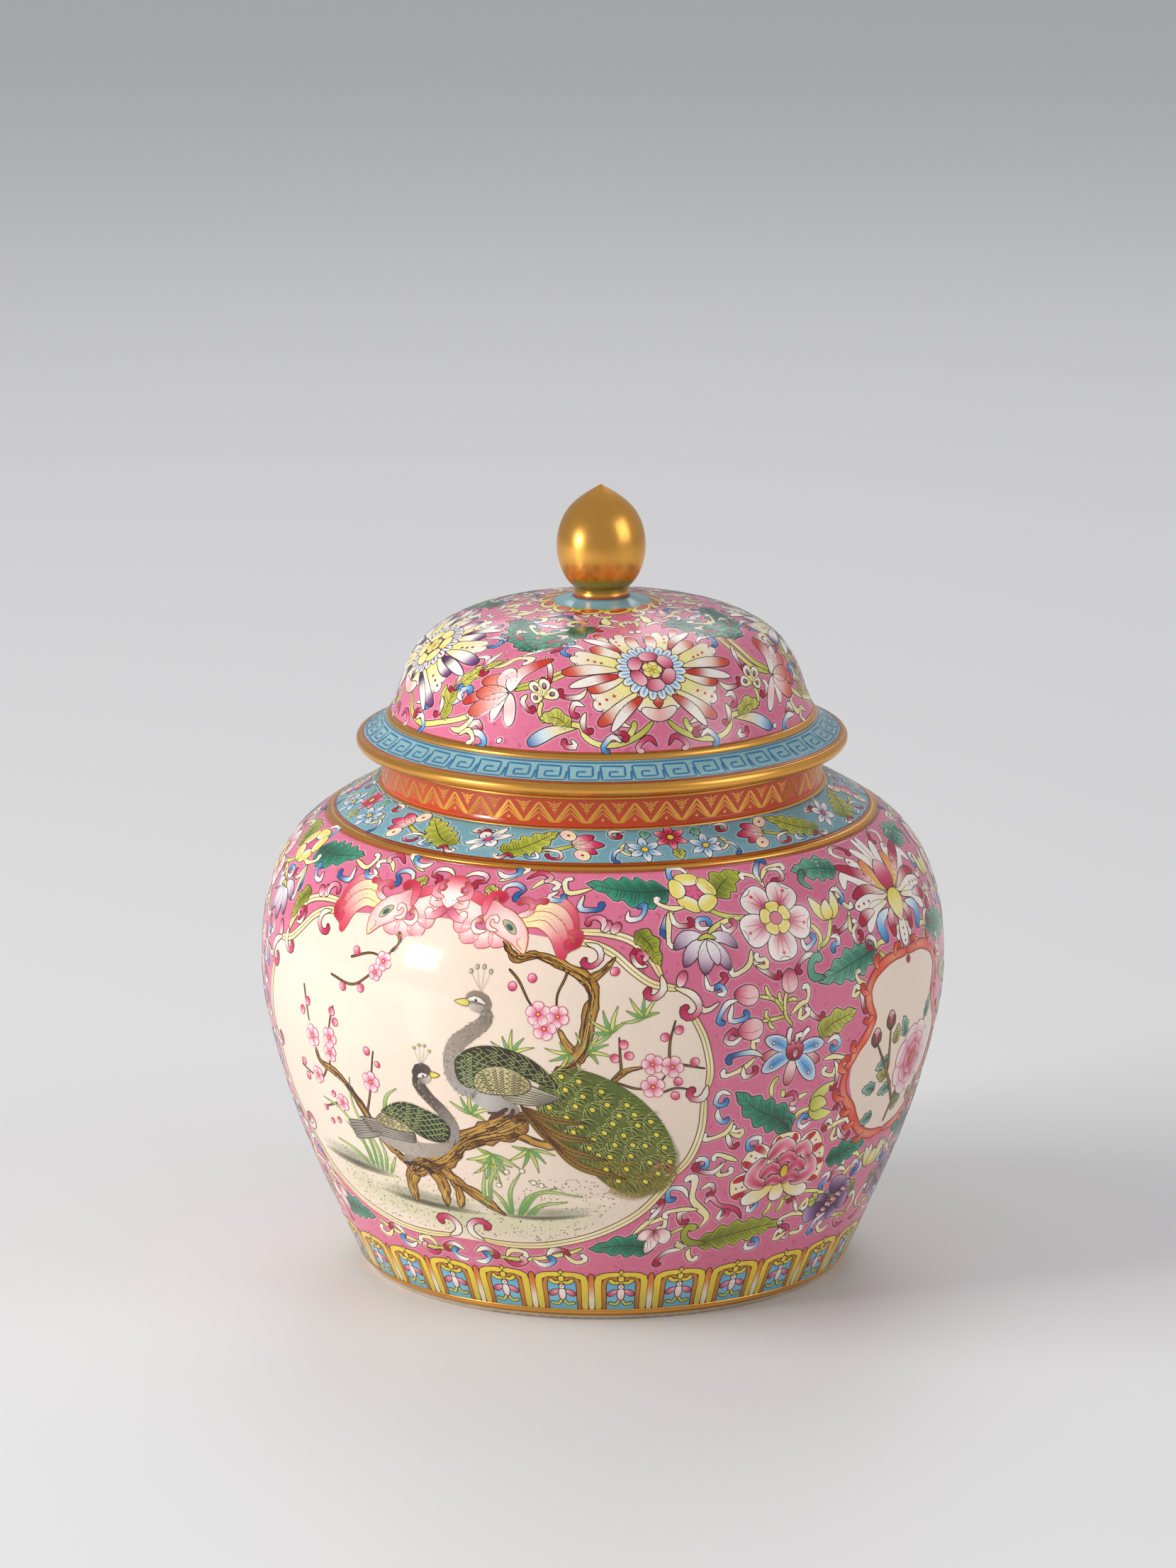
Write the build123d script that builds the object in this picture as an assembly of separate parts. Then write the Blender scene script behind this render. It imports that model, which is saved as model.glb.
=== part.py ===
"""A lidded porcelain ginger jar: a thrown jar and a thrown lid, each luted together from sections.

Frame: +Z up, origin at the centre of the foot's resting plane. All lengths are millimetres.
Every section is a body of revolution about Z. Sections of one vessel meet face to face at a luting
plane, as leather-hard clay sections do before they are glazed as one.
"""

import os

from build123d import *

# --- driving dimensions: the jar -------------------------------------------------------------
BELLY_R = 115.0          # widest radius of the jar
BELLY_Z = 105.4          # height of the widest point, where lower and upper body are luted
BODY_WALL = 5.0          # thrown wall of the body

FOOT_R = 82.8            # outside radius where the body stands on the foot ring
FOOT_H = 3.5             # height of the trimmed foot ring, and depth of the recess inside it
FOOT_TREAD_R = 80.6      # outside radius of the tread
FOOT_INNER_R = 74.0      # inside radius of the foot ring
FLOOR_T = 6.5            # thickness of the jar's floor
FLOOR_CORNER_R = 9.0     # inside radius where the floor turns into the wall

NECK_R = 74.0            # outside radius of the upright neck
NECK_INNER_R = 69.0
NECK_ROOT_Z = 165.4      # luting plane between shoulder and neck
NECK_ROOT_R = 75.6       # outside radius of the neck's flared root
NECK_TOP_Z = 177.6       # rim that the lid rests on

# --- driving dimensions: the lid -------------------------------------------------------------
SEAT_Z = NECK_TOP_Z      # underside of the lid's flange
FLANGE_R = 82.4          # widest radius of the rolled flange edge
FLANGE_EDGE_Z = 180.0    # height of the middle of the rolled edge
FLANGE_EDGE_TOP = (80.6, 182.3)
FLANGE_EDGE_BOTTOM = (80.4, 177.9)
FLANGE_UNDER_R = 79.2    # where the flat underside ends

DOME_BASE_Z = 187.9      # luting plane between flange and dome
DOME_BASE_R = 72.3
DOME_WALL = 4.2

LOCATING_R = 68.0        # ring that drops inside the neck, 1 mm of play all round
LOCATING_INNER_R = 64.3
LOCATING_DEPTH = 12.0

FINIAL_Z = 228.4         # luting plane between dome and finial
FINIAL_BASE_R = 9.2
FINIAL_TOP_Z = 266.1
FINIAL_CAVITY_R = 9.5    # the finial is hollow, so that it fires without cracking
VENT_R = 2.5             # vent from the finial's cavity into the lid

# Outline of the body from the foot ring to the shoulder, as (radius, height).
LOWER_OUTLINE = [(FOOT_R, FOOT_H), (90.3, 19.8), (98.5, 39.0), (106.8, 62.0), (112.6, 84.0), (BELLY_R, BELLY_Z)]
UPPER_OUTLINE = [(BELLY_R, BELLY_Z), (114.0, 121.0), (109.5, 136.6), (101.6, 148.6), (92.4, 155.8),
                 (NECK_ROOT_R, NECK_ROOT_Z)]
# Outline of the dome from its base to the foot of the finial.
DOME_OUTLINE = [(DOME_BASE_R - 0.9, DOME_BASE_Z + 0.7), (68.1, 197.0), (65.0, 205.6), (58.2, 214.3),
                (46.5, 220.9), (31.0, 224.6), (17.5, 226.3)]
# Outline of the finial from its waist to just under the tip.
FINIAL_OUTLINE = [(8.9, 230.0), (10.4, 232.6), (13.4, 237.4), (14.9, 244.6), (13.9, 252.0), (11.1, 257.6),
                  (5.0, 263.0), (0.0, FINIAL_TOP_Z)]


def at(point):
    """A (radius, height) pair as a point of the XZ plane."""
    radius, height = point
    return Vector(radius, 0, height)


def direction(start, end):
    return (at(end) - at(start)).normalized()


def inward(points, wall):
    """The same outline moved towards the axis by the wall, square to the outline at each point."""
    moved = []
    for i, point in enumerate(points):
        before, after = points[max(i - 1, 0)], points[min(i + 1, len(points) - 1)]
        along = direction(before, after)
        moved.append((point[0] - wall * along.Z, point[1] + wall * along.X))
    return moved


def turned(*edges):
    """One solid of revolution about Z from edges that close a loop on one side of the axis."""
    return revolve(Face(Wire(list(edges))), axis=Axis.Z, revolution_arc=360)


def line(start, end):
    return Edge.make_line(at(start), at(end))


def curve(points, tangents=None):
    return Edge.make_spline([at(p) for p in points], tangents=tangents)


def polygon_edges(points):
    return [line(a, b) for a, b in zip(points, points[1:])]


UP = Vector(0, 0, 1)


def foot_ring():
    """Trimmed ring with a small rounded tread, glued with slip under the lower body."""
    tread = 0.7
    return turned(
        line((FOOT_INNER_R, FOOT_H), (FOOT_INNER_R, tread)),
        Edge.make_three_point_arc(at((FOOT_INNER_R, tread)), at((FOOT_INNER_R + 0.2, 0.2)),
                                  at((FOOT_INNER_R + tread, 0))),
        line((FOOT_INNER_R + tread, 0), (FOOT_TREAD_R - tread, 0)),
        Edge.make_three_point_arc(at((FOOT_TREAD_R - tread, 0)), at((FOOT_TREAD_R - 0.15, 0.25)),
                                  at((FOOT_TREAD_R, tread))),
        line((FOOT_TREAD_R, tread), (FOOT_R, FOOT_H)),
        line((FOOT_R, FOOT_H), (FOOT_INNER_R, FOOT_H)),
    )


def lower_body():
    """Bowl-shaped lower half, with the jar's floor."""
    inner = inward(LOWER_OUTLINE, BODY_WALL)[1:]
    inner[-1] = (BELLY_R - BODY_WALL, BELLY_Z)
    floor_z = FOOT_H + FLOOR_T
    corner = (inner[0][0] - FLOOR_CORNER_R, floor_z)
    corner_middle = (inner[0][0] - 0.36 * FLOOR_CORNER_R, floor_z + 0.27 * FLOOR_CORNER_R)
    return turned(
        line((0, FOOT_H), LOWER_OUTLINE[0]),
        curve(LOWER_OUTLINE, [direction(*LOWER_OUTLINE[:2]), UP]),
        line(LOWER_OUTLINE[-1], inner[-1]),
        curve(inner[::-1], [-UP, -direction(inner[0], inner[1])]),
        curve([inner[0], corner_middle, corner], [-direction(inner[0], inner[1]), Vector(-1, 0, 0)]),
        line(corner, (0, floor_z)),
        line((0, floor_z), (0, FOOT_H)),
    )


def upper_body():
    """Shoulder half, luted to the lower one at the belly and open at the neck."""
    inner = inward(UPPER_OUTLINE, BODY_WALL)
    inner[0] = (BELLY_R - BODY_WALL, BELLY_Z)
    inner[-1] = (NECK_INNER_R, inner[-1][1] - 1.0)
    outer_end = direction(UPPER_OUTLINE[-2], UPPER_OUTLINE[-1])
    return turned(
        curve(UPPER_OUTLINE, [UP, outer_end]),
        line(UPPER_OUTLINE[-1], (NECK_INNER_R, NECK_ROOT_Z)),
        line((NECK_INNER_R, NECK_ROOT_Z), inner[-1]),
        curve(inner[::-1], [-outer_end, -UP]),
        line(inner[0], UPPER_OUTLINE[0]),
    )


def neck_collar():
    """Upright neck with a flared root and a softened rim."""
    root_top, rim = 167.1, 0.9
    return turned(
        line((NECK_INNER_R, NECK_ROOT_Z), (NECK_ROOT_R, NECK_ROOT_Z)),
        Edge.make_three_point_arc(at((NECK_ROOT_R, NECK_ROOT_Z)), at((NECK_R + 0.45, NECK_ROOT_Z + 0.6)),
                                  at((NECK_R, root_top))),
        line((NECK_R, root_top), (NECK_R, NECK_TOP_Z - rim)),
        Edge.make_three_point_arc(at((NECK_R, NECK_TOP_Z - rim)), at((NECK_R - 0.27, NECK_TOP_Z - 0.27)),
                                  at((NECK_R - rim, NECK_TOP_Z))),
        line((NECK_R - rim, NECK_TOP_Z), (NECK_INNER_R + rim, NECK_TOP_Z)),
        Edge.make_three_point_arc(at((NECK_INNER_R + rim, NECK_TOP_Z)),
                                  at((NECK_INNER_R + 0.27, NECK_TOP_Z - 0.27)),
                                  at((NECK_INNER_R, NECK_TOP_Z - rim))),
        line((NECK_INNER_R, NECK_TOP_Z - rim), (NECK_INNER_R, NECK_ROOT_Z)),
    )


def lid_locating_ring():
    """Ring luted under the flange, which keeps the lid centred in the neck."""
    lower, soft = SEAT_Z - LOCATING_DEPTH, 0.8
    return turned(
        *polygon_edges([(LOCATING_INNER_R, SEAT_Z), (LOCATING_INNER_R, lower + soft),
                        (LOCATING_INNER_R + soft, lower), (LOCATING_R - soft, lower),
                        (LOCATING_R, lower + soft), (LOCATING_R, SEAT_Z), (LOCATING_INNER_R, SEAT_Z)])
    )


def lid_flange():
    """Brim with a rolled edge. It rests on the neck's rim and carries the dome."""
    brim_top = (DOME_BASE_R, DOME_BASE_Z)
    brim_middle = (0.5 * (brim_top[0] + FLANGE_EDGE_TOP[0]) - 0.5, 0.5 * (brim_top[1] + FLANGE_EDGE_TOP[1]) - 0.6)
    dome_inner_r = DOME_BASE_R - DOME_WALL - 0.8
    return turned(
        line((LOCATING_INNER_R, SEAT_Z), (FLANGE_UNDER_R, SEAT_Z)),
        line((FLANGE_UNDER_R, SEAT_Z), FLANGE_EDGE_BOTTOM),
        Edge.make_three_point_arc(at(FLANGE_EDGE_BOTTOM), at((FLANGE_R, FLANGE_EDGE_Z)), at(FLANGE_EDGE_TOP)),
        Edge.make_three_point_arc(at(FLANGE_EDGE_TOP), at(brim_middle), at(brim_top)),
        line(brim_top, (dome_inner_r, DOME_BASE_Z)),
        line((dome_inner_r, DOME_BASE_Z), (LOCATING_INNER_R, SEAT_Z)),
    )


def lid_dome():
    """Domed shell, with a small raised seat for the finial and a vent through it."""
    inner = inward(DOME_OUTLINE, DOME_WALL)
    inner[0] = (DOME_BASE_R - DOME_WALL - 0.8, DOME_BASE_Z)
    level = (VENT_R, inner[-1][1] + 0.6)
    seat = (FINIAL_BASE_R, FINIAL_Z)
    top_slope = direction(DOME_OUTLINE[-2], DOME_OUTLINE[-1])
    return turned(
        line(inner[0], (DOME_BASE_R, DOME_BASE_Z)),
        Edge.make_three_point_arc(at((DOME_BASE_R, DOME_BASE_Z)), at((DOME_BASE_R - 0.6, DOME_BASE_Z + 0.25)),
                                  at(DOME_OUTLINE[0])),
        curve(DOME_OUTLINE, [direction(*DOME_OUTLINE[:2]), top_slope]),
        curve([DOME_OUTLINE[-1], (12.4, 227.1), seat], [top_slope, Vector(-0.75, 0, 0.66)]),
        line(seat, (VENT_R, FINIAL_Z)),
        line((VENT_R, FINIAL_Z), level),
        curve([level, *inner[::-1]], [Vector(1, 0, 0), -direction(inner[0], inner[1])]),
    )


def finial():
    """Bud-shaped hollow finial with a waist, luted on top of the dome."""
    cavity_bottom, cavity_top = FINIAL_Z + 4.6, FINIAL_TOP_Z - 10.0
    cavity_middle = 0.5 * (cavity_bottom + cavity_top)
    return turned(
        line((VENT_R, FINIAL_Z), (FINIAL_BASE_R, FINIAL_Z)),
        line((FINIAL_BASE_R, FINIAL_Z), FINIAL_OUTLINE[0]),
        curve(FINIAL_OUTLINE, [UP, direction(*FINIAL_OUTLINE[-2:])]),
        line(FINIAL_OUTLINE[-1], (0, cavity_top)),
        curve([(0, cavity_top), (FINIAL_CAVITY_R, cavity_middle), (VENT_R, cavity_bottom)],
              [Vector(1, 0, 0), Vector(-1, 0, -0.6)]),
        line((VENT_R, cavity_bottom), (VENT_R, FINIAL_Z)),
    )


SECTIONS = [foot_ring, lower_body, upper_body, neck_collar, lid_locating_ring, lid_flange, lid_dome, finial]

os.makedirs("parts", exist_ok=True)
for section in SECTIONS:
    solid = section()
    solid.label = section.__name__
    export_step(solid, f"parts/{section.__name__}.step")
    print(section.__name__, round(solid.volume / 1000, 1), "cm3")
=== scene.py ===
"""A lidded porcelain ginger jar, painted in enamels and gilded, built up in the order it is made."""
import math

import bpy
import numpy as np
from mathutils import Euler, Matrix


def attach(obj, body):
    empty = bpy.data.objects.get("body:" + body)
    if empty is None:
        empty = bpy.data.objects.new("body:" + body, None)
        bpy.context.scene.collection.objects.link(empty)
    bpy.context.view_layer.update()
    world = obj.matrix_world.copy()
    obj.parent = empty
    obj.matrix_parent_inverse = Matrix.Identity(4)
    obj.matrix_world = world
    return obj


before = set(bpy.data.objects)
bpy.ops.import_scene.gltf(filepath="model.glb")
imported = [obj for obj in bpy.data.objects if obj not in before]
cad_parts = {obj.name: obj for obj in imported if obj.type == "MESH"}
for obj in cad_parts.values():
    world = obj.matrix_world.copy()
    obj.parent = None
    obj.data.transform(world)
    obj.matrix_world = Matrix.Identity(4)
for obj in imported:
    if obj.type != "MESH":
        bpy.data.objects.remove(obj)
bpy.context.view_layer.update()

# --- Studio ----------------------------------------------------------------------------------
# The jar stands on a plain pale floor in soft light. The camera looks down on it from far off, a
# little to the right of the large painted panel, which faces -Y.

CAMERA_TURN = math.radians(28.5)
CAMERA_TILT = math.radians(13.12)
CAMERA_AWAY, CAMERA_UP = 2.5602, 0.760
CAMERA_ROLL = math.radians(-0.25)
AIM_ASIDE = 0.00186
LENS = 179.4

camera = bpy.data.objects.new("camera", bpy.data.cameras.new("camera"))
camera.data.lens = LENS
camera.data.clip_start, camera.data.clip_end = 0.1, 50
camera.location = (CAMERA_AWAY * math.sin(CAMERA_TURN), -CAMERA_AWAY * math.cos(CAMERA_TURN), CAMERA_UP)
aim = Euler((math.pi / 2 - CAMERA_TILT, 0, CAMERA_TURN + AIM_ASIDE)).to_matrix()
camera.rotation_euler = (aim @ Matrix.Rotation(CAMERA_ROLL, 3, "Z")).to_euler()
bpy.context.scene.collection.objects.link(camera)
bpy.context.scene.camera = camera
bpy.context.scene.view_settings.view_transform = "Standard"

FLOOR_HALF = 9.0
floor_mesh = bpy.data.meshes.new("floor")
floor_mesh.from_pydata([(x * FLOOR_HALF, y * FLOOR_HALF, 0) for x,
    y in ((-1, -1), (1, -1), (1, 1), (-1, 1))], [], [(0, 1, 2, 3)])
floor = bpy.data.objects.new("floor", floor_mesh)
bpy.context.scene.collection.objects.link(floor)
floor_paint = bpy.data.materials.new("floor_paint")
floor_paint.use_nodes = True
floor_shader = floor_paint.node_tree.nodes["Principled BSDF"]
floor_shader.inputs["Base Color"].default_value = (0.76, 0.75, 0.74, 1)
floor_shader.inputs["Roughness"].default_value = 0.45
floor_mesh.materials.append(floor_paint)

room = bpy.data.worlds.new("room")
room.use_nodes = True
room_light = room.node_tree.nodes["Background"]
room_light.inputs["Color"].default_value = (0.93, 0.95, 1.0, 1)
room_light.inputs["Strength"].default_value = 0.46
bpy.context.scene.world = room

JAR_MIDDLE = 0.12


def softbox(name, turn, up, away, side, watts, mirrored=True):
    """A square light that faces the jar's middle from a turn about it and a height, in degrees and metres.

    One that is not mirrored lights the jar without showing in its glaze.
    """
    light = bpy.data.objects.new(name, bpy.data.lights.new(name, "AREA"))
    light.data.size, light.data.energy = side, watts
    turn, up = math.radians(turn), math.radians(up)
    light.location = (away * math.sin(turn) * math.cos(up), -away * math.cos(turn) * math.cos(up),
                      JAR_MIDDLE + away * math.sin(up))
    light.rotation_euler = (math.pi / 2 - up, 0, turn)
    light.visible_glossy = mirrored
    bpy.context.scene.collection.objects.link(light)


softbox("key_light", -33, 11, 1.7, 0.26, 9)
softbox("wide_light", -48, 34, 2.4, 1.5, 34, mirrored=False)
softbox("fill_light", 95, 25, 2.2, 1.2, 9)
softbox("back_light", 205, 42, 2.2, 1.2, 8)

# --- The jar's thrown body -------------------------------------------------------------------
# White porcelain, thrown in two halves that are luted at the belly. Its outer wall is unrolled here,
# so that every enamel after it can be laid down in millimetres round the wall and up it.

MM = 0.001
SLICE = 0.25


class Wall:
    """The outside of turned sections, as a smooth curve read from the CAD nodes.

    s is the length up the wall from its lowest point, and r and z are radius and height, all in mm.
    """

    def __init__(self, *nodes, spacing=3.0, straight=False):
        found = []
        for node in nodes:
            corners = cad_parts[node].data.vertices
            spots = np.array([tuple(v.co) for v in corners]) / MM
            radius = np.hypot(spots[:, 0], spots[:, 1])
            facing = (spots[:, :2] * np.array([tuple(v.normal[:2]) for v in corners])).sum(1)
            outside = facing > 0.03 * radius
            radius, height = radius[outside], spots[outside, 2]
            low, high = height.min(), height.max()
            slice_of = np.round((height - low) / SLICE).astype(int)
            for k in np.unique(slice_of):
                inside = np.flatnonzero(slice_of == k)
                best = inside[np.argmax(radius[inside])]
                found.append((height[best], radius[best]))
            for edge in (low, high):
                found.append((edge, radius[np.abs(height - edge) < 0.01].max()))
        found = np.array(sorted(set(found)))
        kept = [found[0]]
        for spot in found[1:-1]:
            if np.hypot(*(spot - kept[-1])) >= spacing and np.hypot(*(spot - found[-1])) > spacing / 2:
                kept.append(spot)
        kept = np.array([*kept, found[-1]])
        knots = np.concatenate([[0], np.cumsum(np.hypot(*np.diff(kept, axis=0).T))])
        fine = np.linspace(0, knots[-1], int(knots[-1] / SLICE) + 1)
        draw = np.interp if straight else self.through
        self.z, self.r = (draw(fine, knots, kept[:, i]) for i in (0, 1))
        self.s = np.concatenate([[0], np.cumsum(np.hypot(np.diff(self.z), np.diff(self.r)))])
        rise, run = np.gradient(self.z, self.s), np.gradient(self.r, self.s)
        self.out, self.up = rise, -run
        self.length = self.s[-1]

    @staticmethod
    def through(at, knots, values):
        """A natural cubic spline through the values."""
        gap = np.diff(knots)
        slope = np.diff(values) / gap
        n = len(knots)
        matrix, right = np.eye(n), np.zeros(n)
        for i in range(1, n - 1):
            matrix[i, i - 1:i + 2] = gap[i - 1], 2 * (gap[i - 1] + gap[i]), gap[i]
            right[i] = 6 * (slope[i] - slope[i - 1])
        bend = np.linalg.solve(matrix, right)
        i = np.clip(np.searchsorted(knots, at, side="right") - 1, 0, n - 2)
        a, b, h = knots[i + 1] - at, at - knots[i], gap[i]
        return ((bend[i] * a**3 + bend[i + 1] * b**3) / (6 * h) + (values[i] / h - bend[i] * h / 6) * a
                + (values[i + 1] / h - bend[i + 1] * h / 6) * b)

    def radius(self, s):
        return np.interp(s, self.s, self.r)

    def at_height(self, z):
        return float(np.interp(z, self.z, self.s))

    def points(self, turn, s, lift):
        """Places in metres for turns in radians, lengths up the wall and heights above it in mm."""
        r = np.interp(s, self.s, self.r) + lift * np.interp(s, self.s, self.out)
        z = np.interp(s, self.s, self.z) + lift * np.interp(s, self.s, self.up)
        r, z, turn = np.broadcast_arrays(r, z, turn)
        return np.stack([r * np.sin(turn), -r * np.cos(turn), z], axis=-1) * MM


body_wall = Wall("lower_body", "upper_body")


def colour(code):
    """An enamel's colour from its six-figure sRGB code, as linear light."""
    parts = np.array([int(code[i:i + 2], 16) for i in (0, 2, 4)]) / 255
    return np.where(parts <= 0.04045, parts / 12.92, ((parts + 0.055) / 1.055) ** 2.4)


def glaze(name, tone, pale=1.12, deep=0.86, cloud=60, rough=(0.08, 0.2), grain=900, bump=0.05, metal=0.0,
          dark_speck=None, stipple=0.06):
    """A fired surface: its tone drifts in soft clouds, its gloss varies and its skin ripples a little.

    tone is a colour code, or None to take the tone from the brushwork.
    """
    made = bpy.data.materials.new(name)
    made.use_nodes = True
    nodes, links = made.node_tree.nodes, made.node_tree.links
    shader = nodes["Principled BSDF"]
    shader.inputs["Metallic"].default_value = metal
    shader.inputs["Specular IOR Level"].default_value = 0.6
    place = nodes.new("ShaderNodeTexCoord").outputs["Object"]

    def noise(scale, detail):
        made_noise = nodes.new("ShaderNodeTexNoise")
        made_noise.inputs["Scale"].default_value = scale
        made_noise.inputs["Detail"].default_value = detail
        links.new(place, made_noise.inputs["Vector"])
        return made_noise.outputs["Fac"]

    def spread(value, low, high, start=0.3, end=0.7):
        ranged = nodes.new("ShaderNodeMapRange")
        for socket, number in (("From Min", start), ("From Max", end), ("To Min", low), ("To Max", high)):
            ranged.inputs[socket].default_value = number
        links.new(value, ranged.inputs["Value"])
        return ranged.outputs["Result"]

    def mixed(kind, first, second, share=1.0):
        mix = nodes.new("ShaderNodeMix")
        mix.data_type, mix.blend_type = "RGBA", kind
        for socket, given in ((mix.inputs[0], share), (mix.inputs[6], first), (mix.inputs[7], second)):
            if hasattr(given, "node"):
                links.new(given, socket)
            else:
                socket.default_value = given
        return mix.outputs[2]

    if tone is None:
        brush = nodes.new("ShaderNodeAttribute")
        brush.attribute_name = "brushwork"
        base = brush.outputs["Color"]
    else:
        base = (*colour(tone), 1)
    clouds = spread(noise(cloud, 3), deep, pale)
    specks = spread(noise(cloud * 22, 2), 1 - stipple, 1 + stipple)
    both = nodes.new("ShaderNodeMath")
    both.operation = "MULTIPLY"
    links.new(clouds, both.inputs[0])
    links.new(specks, both.inputs[1])
    shade = mixed("MULTIPLY", base, both.outputs[0])
    if dark_speck:
        speck = spread(noise(cloud * 9, 1), 0, 0.6, 0.66, 0.74)
        shade = mixed("MIX", shade, (*colour(dark_speck), 1), speck)
    links.new(shade, shader.inputs["Base Color"])
    links.new(spread(noise(cloud * 3, 2), *rough), shader.inputs["Roughness"])
    ripple = nodes.new("ShaderNodeBump")
    ripple.inputs["Strength"].default_value = bump
    ripple.inputs["Distance"].default_value = 0.0004
    links.new(noise(grain, 2), ripple.inputs["Height"])
    links.new(ripple.outputs["Normal"], shader.inputs["Normal"])
    return made


def finish_node(node, material):
    """Gives a CAD section its fired surface."""
    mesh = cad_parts[node].data
    mesh.materials.clear()
    mesh.materials.append(material)
    mesh.shade_smooth()


AROUND = 512
FILM_STEP, FILM_BURIED = 1.5, -0.03


def film(name, wall, start, end, material, body, lift=0.10, around=AROUND):
    """A ring of enamel on a wall from one length up it to another, with its two edges turned down."""
    rows = np.linspace(start, end, max(3, int(abs(end - start) / FILM_STEP) + 2))
    rows = np.concatenate([[start], rows, [end]])
    lifts = np.full(len(rows), lift)
    lifts[[0, -1]] = FILM_BURIED
    turns = np.arange(around) * 2 * math.pi / around
    places = wall.points(turns[None, :], rows[:, None], lifts[:, None]).reshape(-1, 3)
    k = np.arange(around)
    after = (k + 1) % around
    faces = np.concatenate([np.stack([i * around + k, i * around + after, (i + 1) * around + after,
        (i + 1) * around + k], axis=1) for i in range(len(rows) - 1) ])
    mesh = bpy.data.meshes.new(name)
    mesh.from_pydata(places.tolist(), [], faces.tolist())
    mesh.shade_smooth()
    mesh.materials.append(material)
    piece = bpy.data.objects.new(name, mesh)
    bpy.context.scene.collection.objects.link(piece)
    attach(piece, body)
    return piece


porcelain = glaze("white_porcelain", "f4ecdc", pale=1.03, deep=0.95, cloud=25, rough=(0.06, 0.14),
    bump=0.03, stipple=0.02)
for node in ("lower_body", "upper_body"):
    finish_node(node, porcelain)

LAPPETS_TOP, PINK_TOP = 13.0, body_wall.at_height(155.4)
PINK_TONE = "dd7290"
pink_ground = glaze("pink_ground", PINK_TONE, pale=1.05, deep=0.95, cloud=45, rough=(0.10, 0.24), grain=700,
                    bump=0.09, dark_speck="b84870")
film("pink_ground", body_wall, LAPPETS_TOP, PINK_TOP, pink_ground, "jar")

# --- Lappets round the foot ------------------------------------------------------------------
# A border of twenty-eight upright lappets, each a yellow ogee frame round a sky-blue field with a
# hanging lily, and a small post between each two. It is the first brushwork on the jar.

OUTLINE = "421c22"
WHITE, CREAM, YELLOW, LEMON = "fbf2e6", "f7e4ae", "f0d23c", "f7ec9c"
CRIMSON, ROSE, PINK, BLUSH = "b3163a", "d6436e", "eb8aa0", "f6c8c4"
BLUE, SKY, PALE_BLUE = "1f5f9e", "6aaede", "cfe3ee"
FERN, OLIVE, SPRING = "8a9420", "b4b83c", "d9d468"
PINE = "0b4a38"
PLUM, LILAC = "4c1e4e", "c9a9bd"
CORAL, BRICK, GOLD = "d8481a", "b23312", "d9a02c"


def flowing(path, step):
    """Points about one step apart on a smooth curve through the given ones."""
    path = np.array(path, float)
    if len(path) == 2:
        path = np.array([path[0], path.mean(0), path[1]])
    ends = np.array([2 * path[0] - path[1], *path, 2 * path[-1] - path[-2]])
    found = []
    for a, b, c, d in zip(ends, ends[1:], ends[2:], ends[3:]):
        t = np.linspace(0, 1, max(3, int(np.hypot(*(c - b)) / step) + 2))[:-1, None]
        found.append(0.5 * (2 * b + (c - a) * t + (2 * a - 5 * b + 4 * c - d) * t**2
            + (3 * b - a - 3 * c + d) * t**3))
    return np.concatenate([*found, path[-1:]])


def swell(shape, t):
    """Relative half width along a dab.

    shape is two powers for its two ends, or widths at even steps with round ends.
    """
    if len(shape) == 2:
        a, b = shape
        return t**a * (1 - t)**b / ((a / (a + b))**a * (b / (a + b))**b)
    round_ends = np.sqrt(np.clip(1 - np.abs(1 - 2 * t)**9, 0, 1))
    return np.interp(t, np.linspace(0, 1, len(shape)), shape) * round_ends


PETAL, LEAF, EGG = (0.9, 0.42), (0.55, 0.9), (0.5, 0.5)
VINE, CURL, TAPER = (1, 1, 1), (0.35, 0.8, 1, 0.85, 0.75, 1.05, 1.1), (1, 0.85, 0.6, 0.3)


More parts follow.
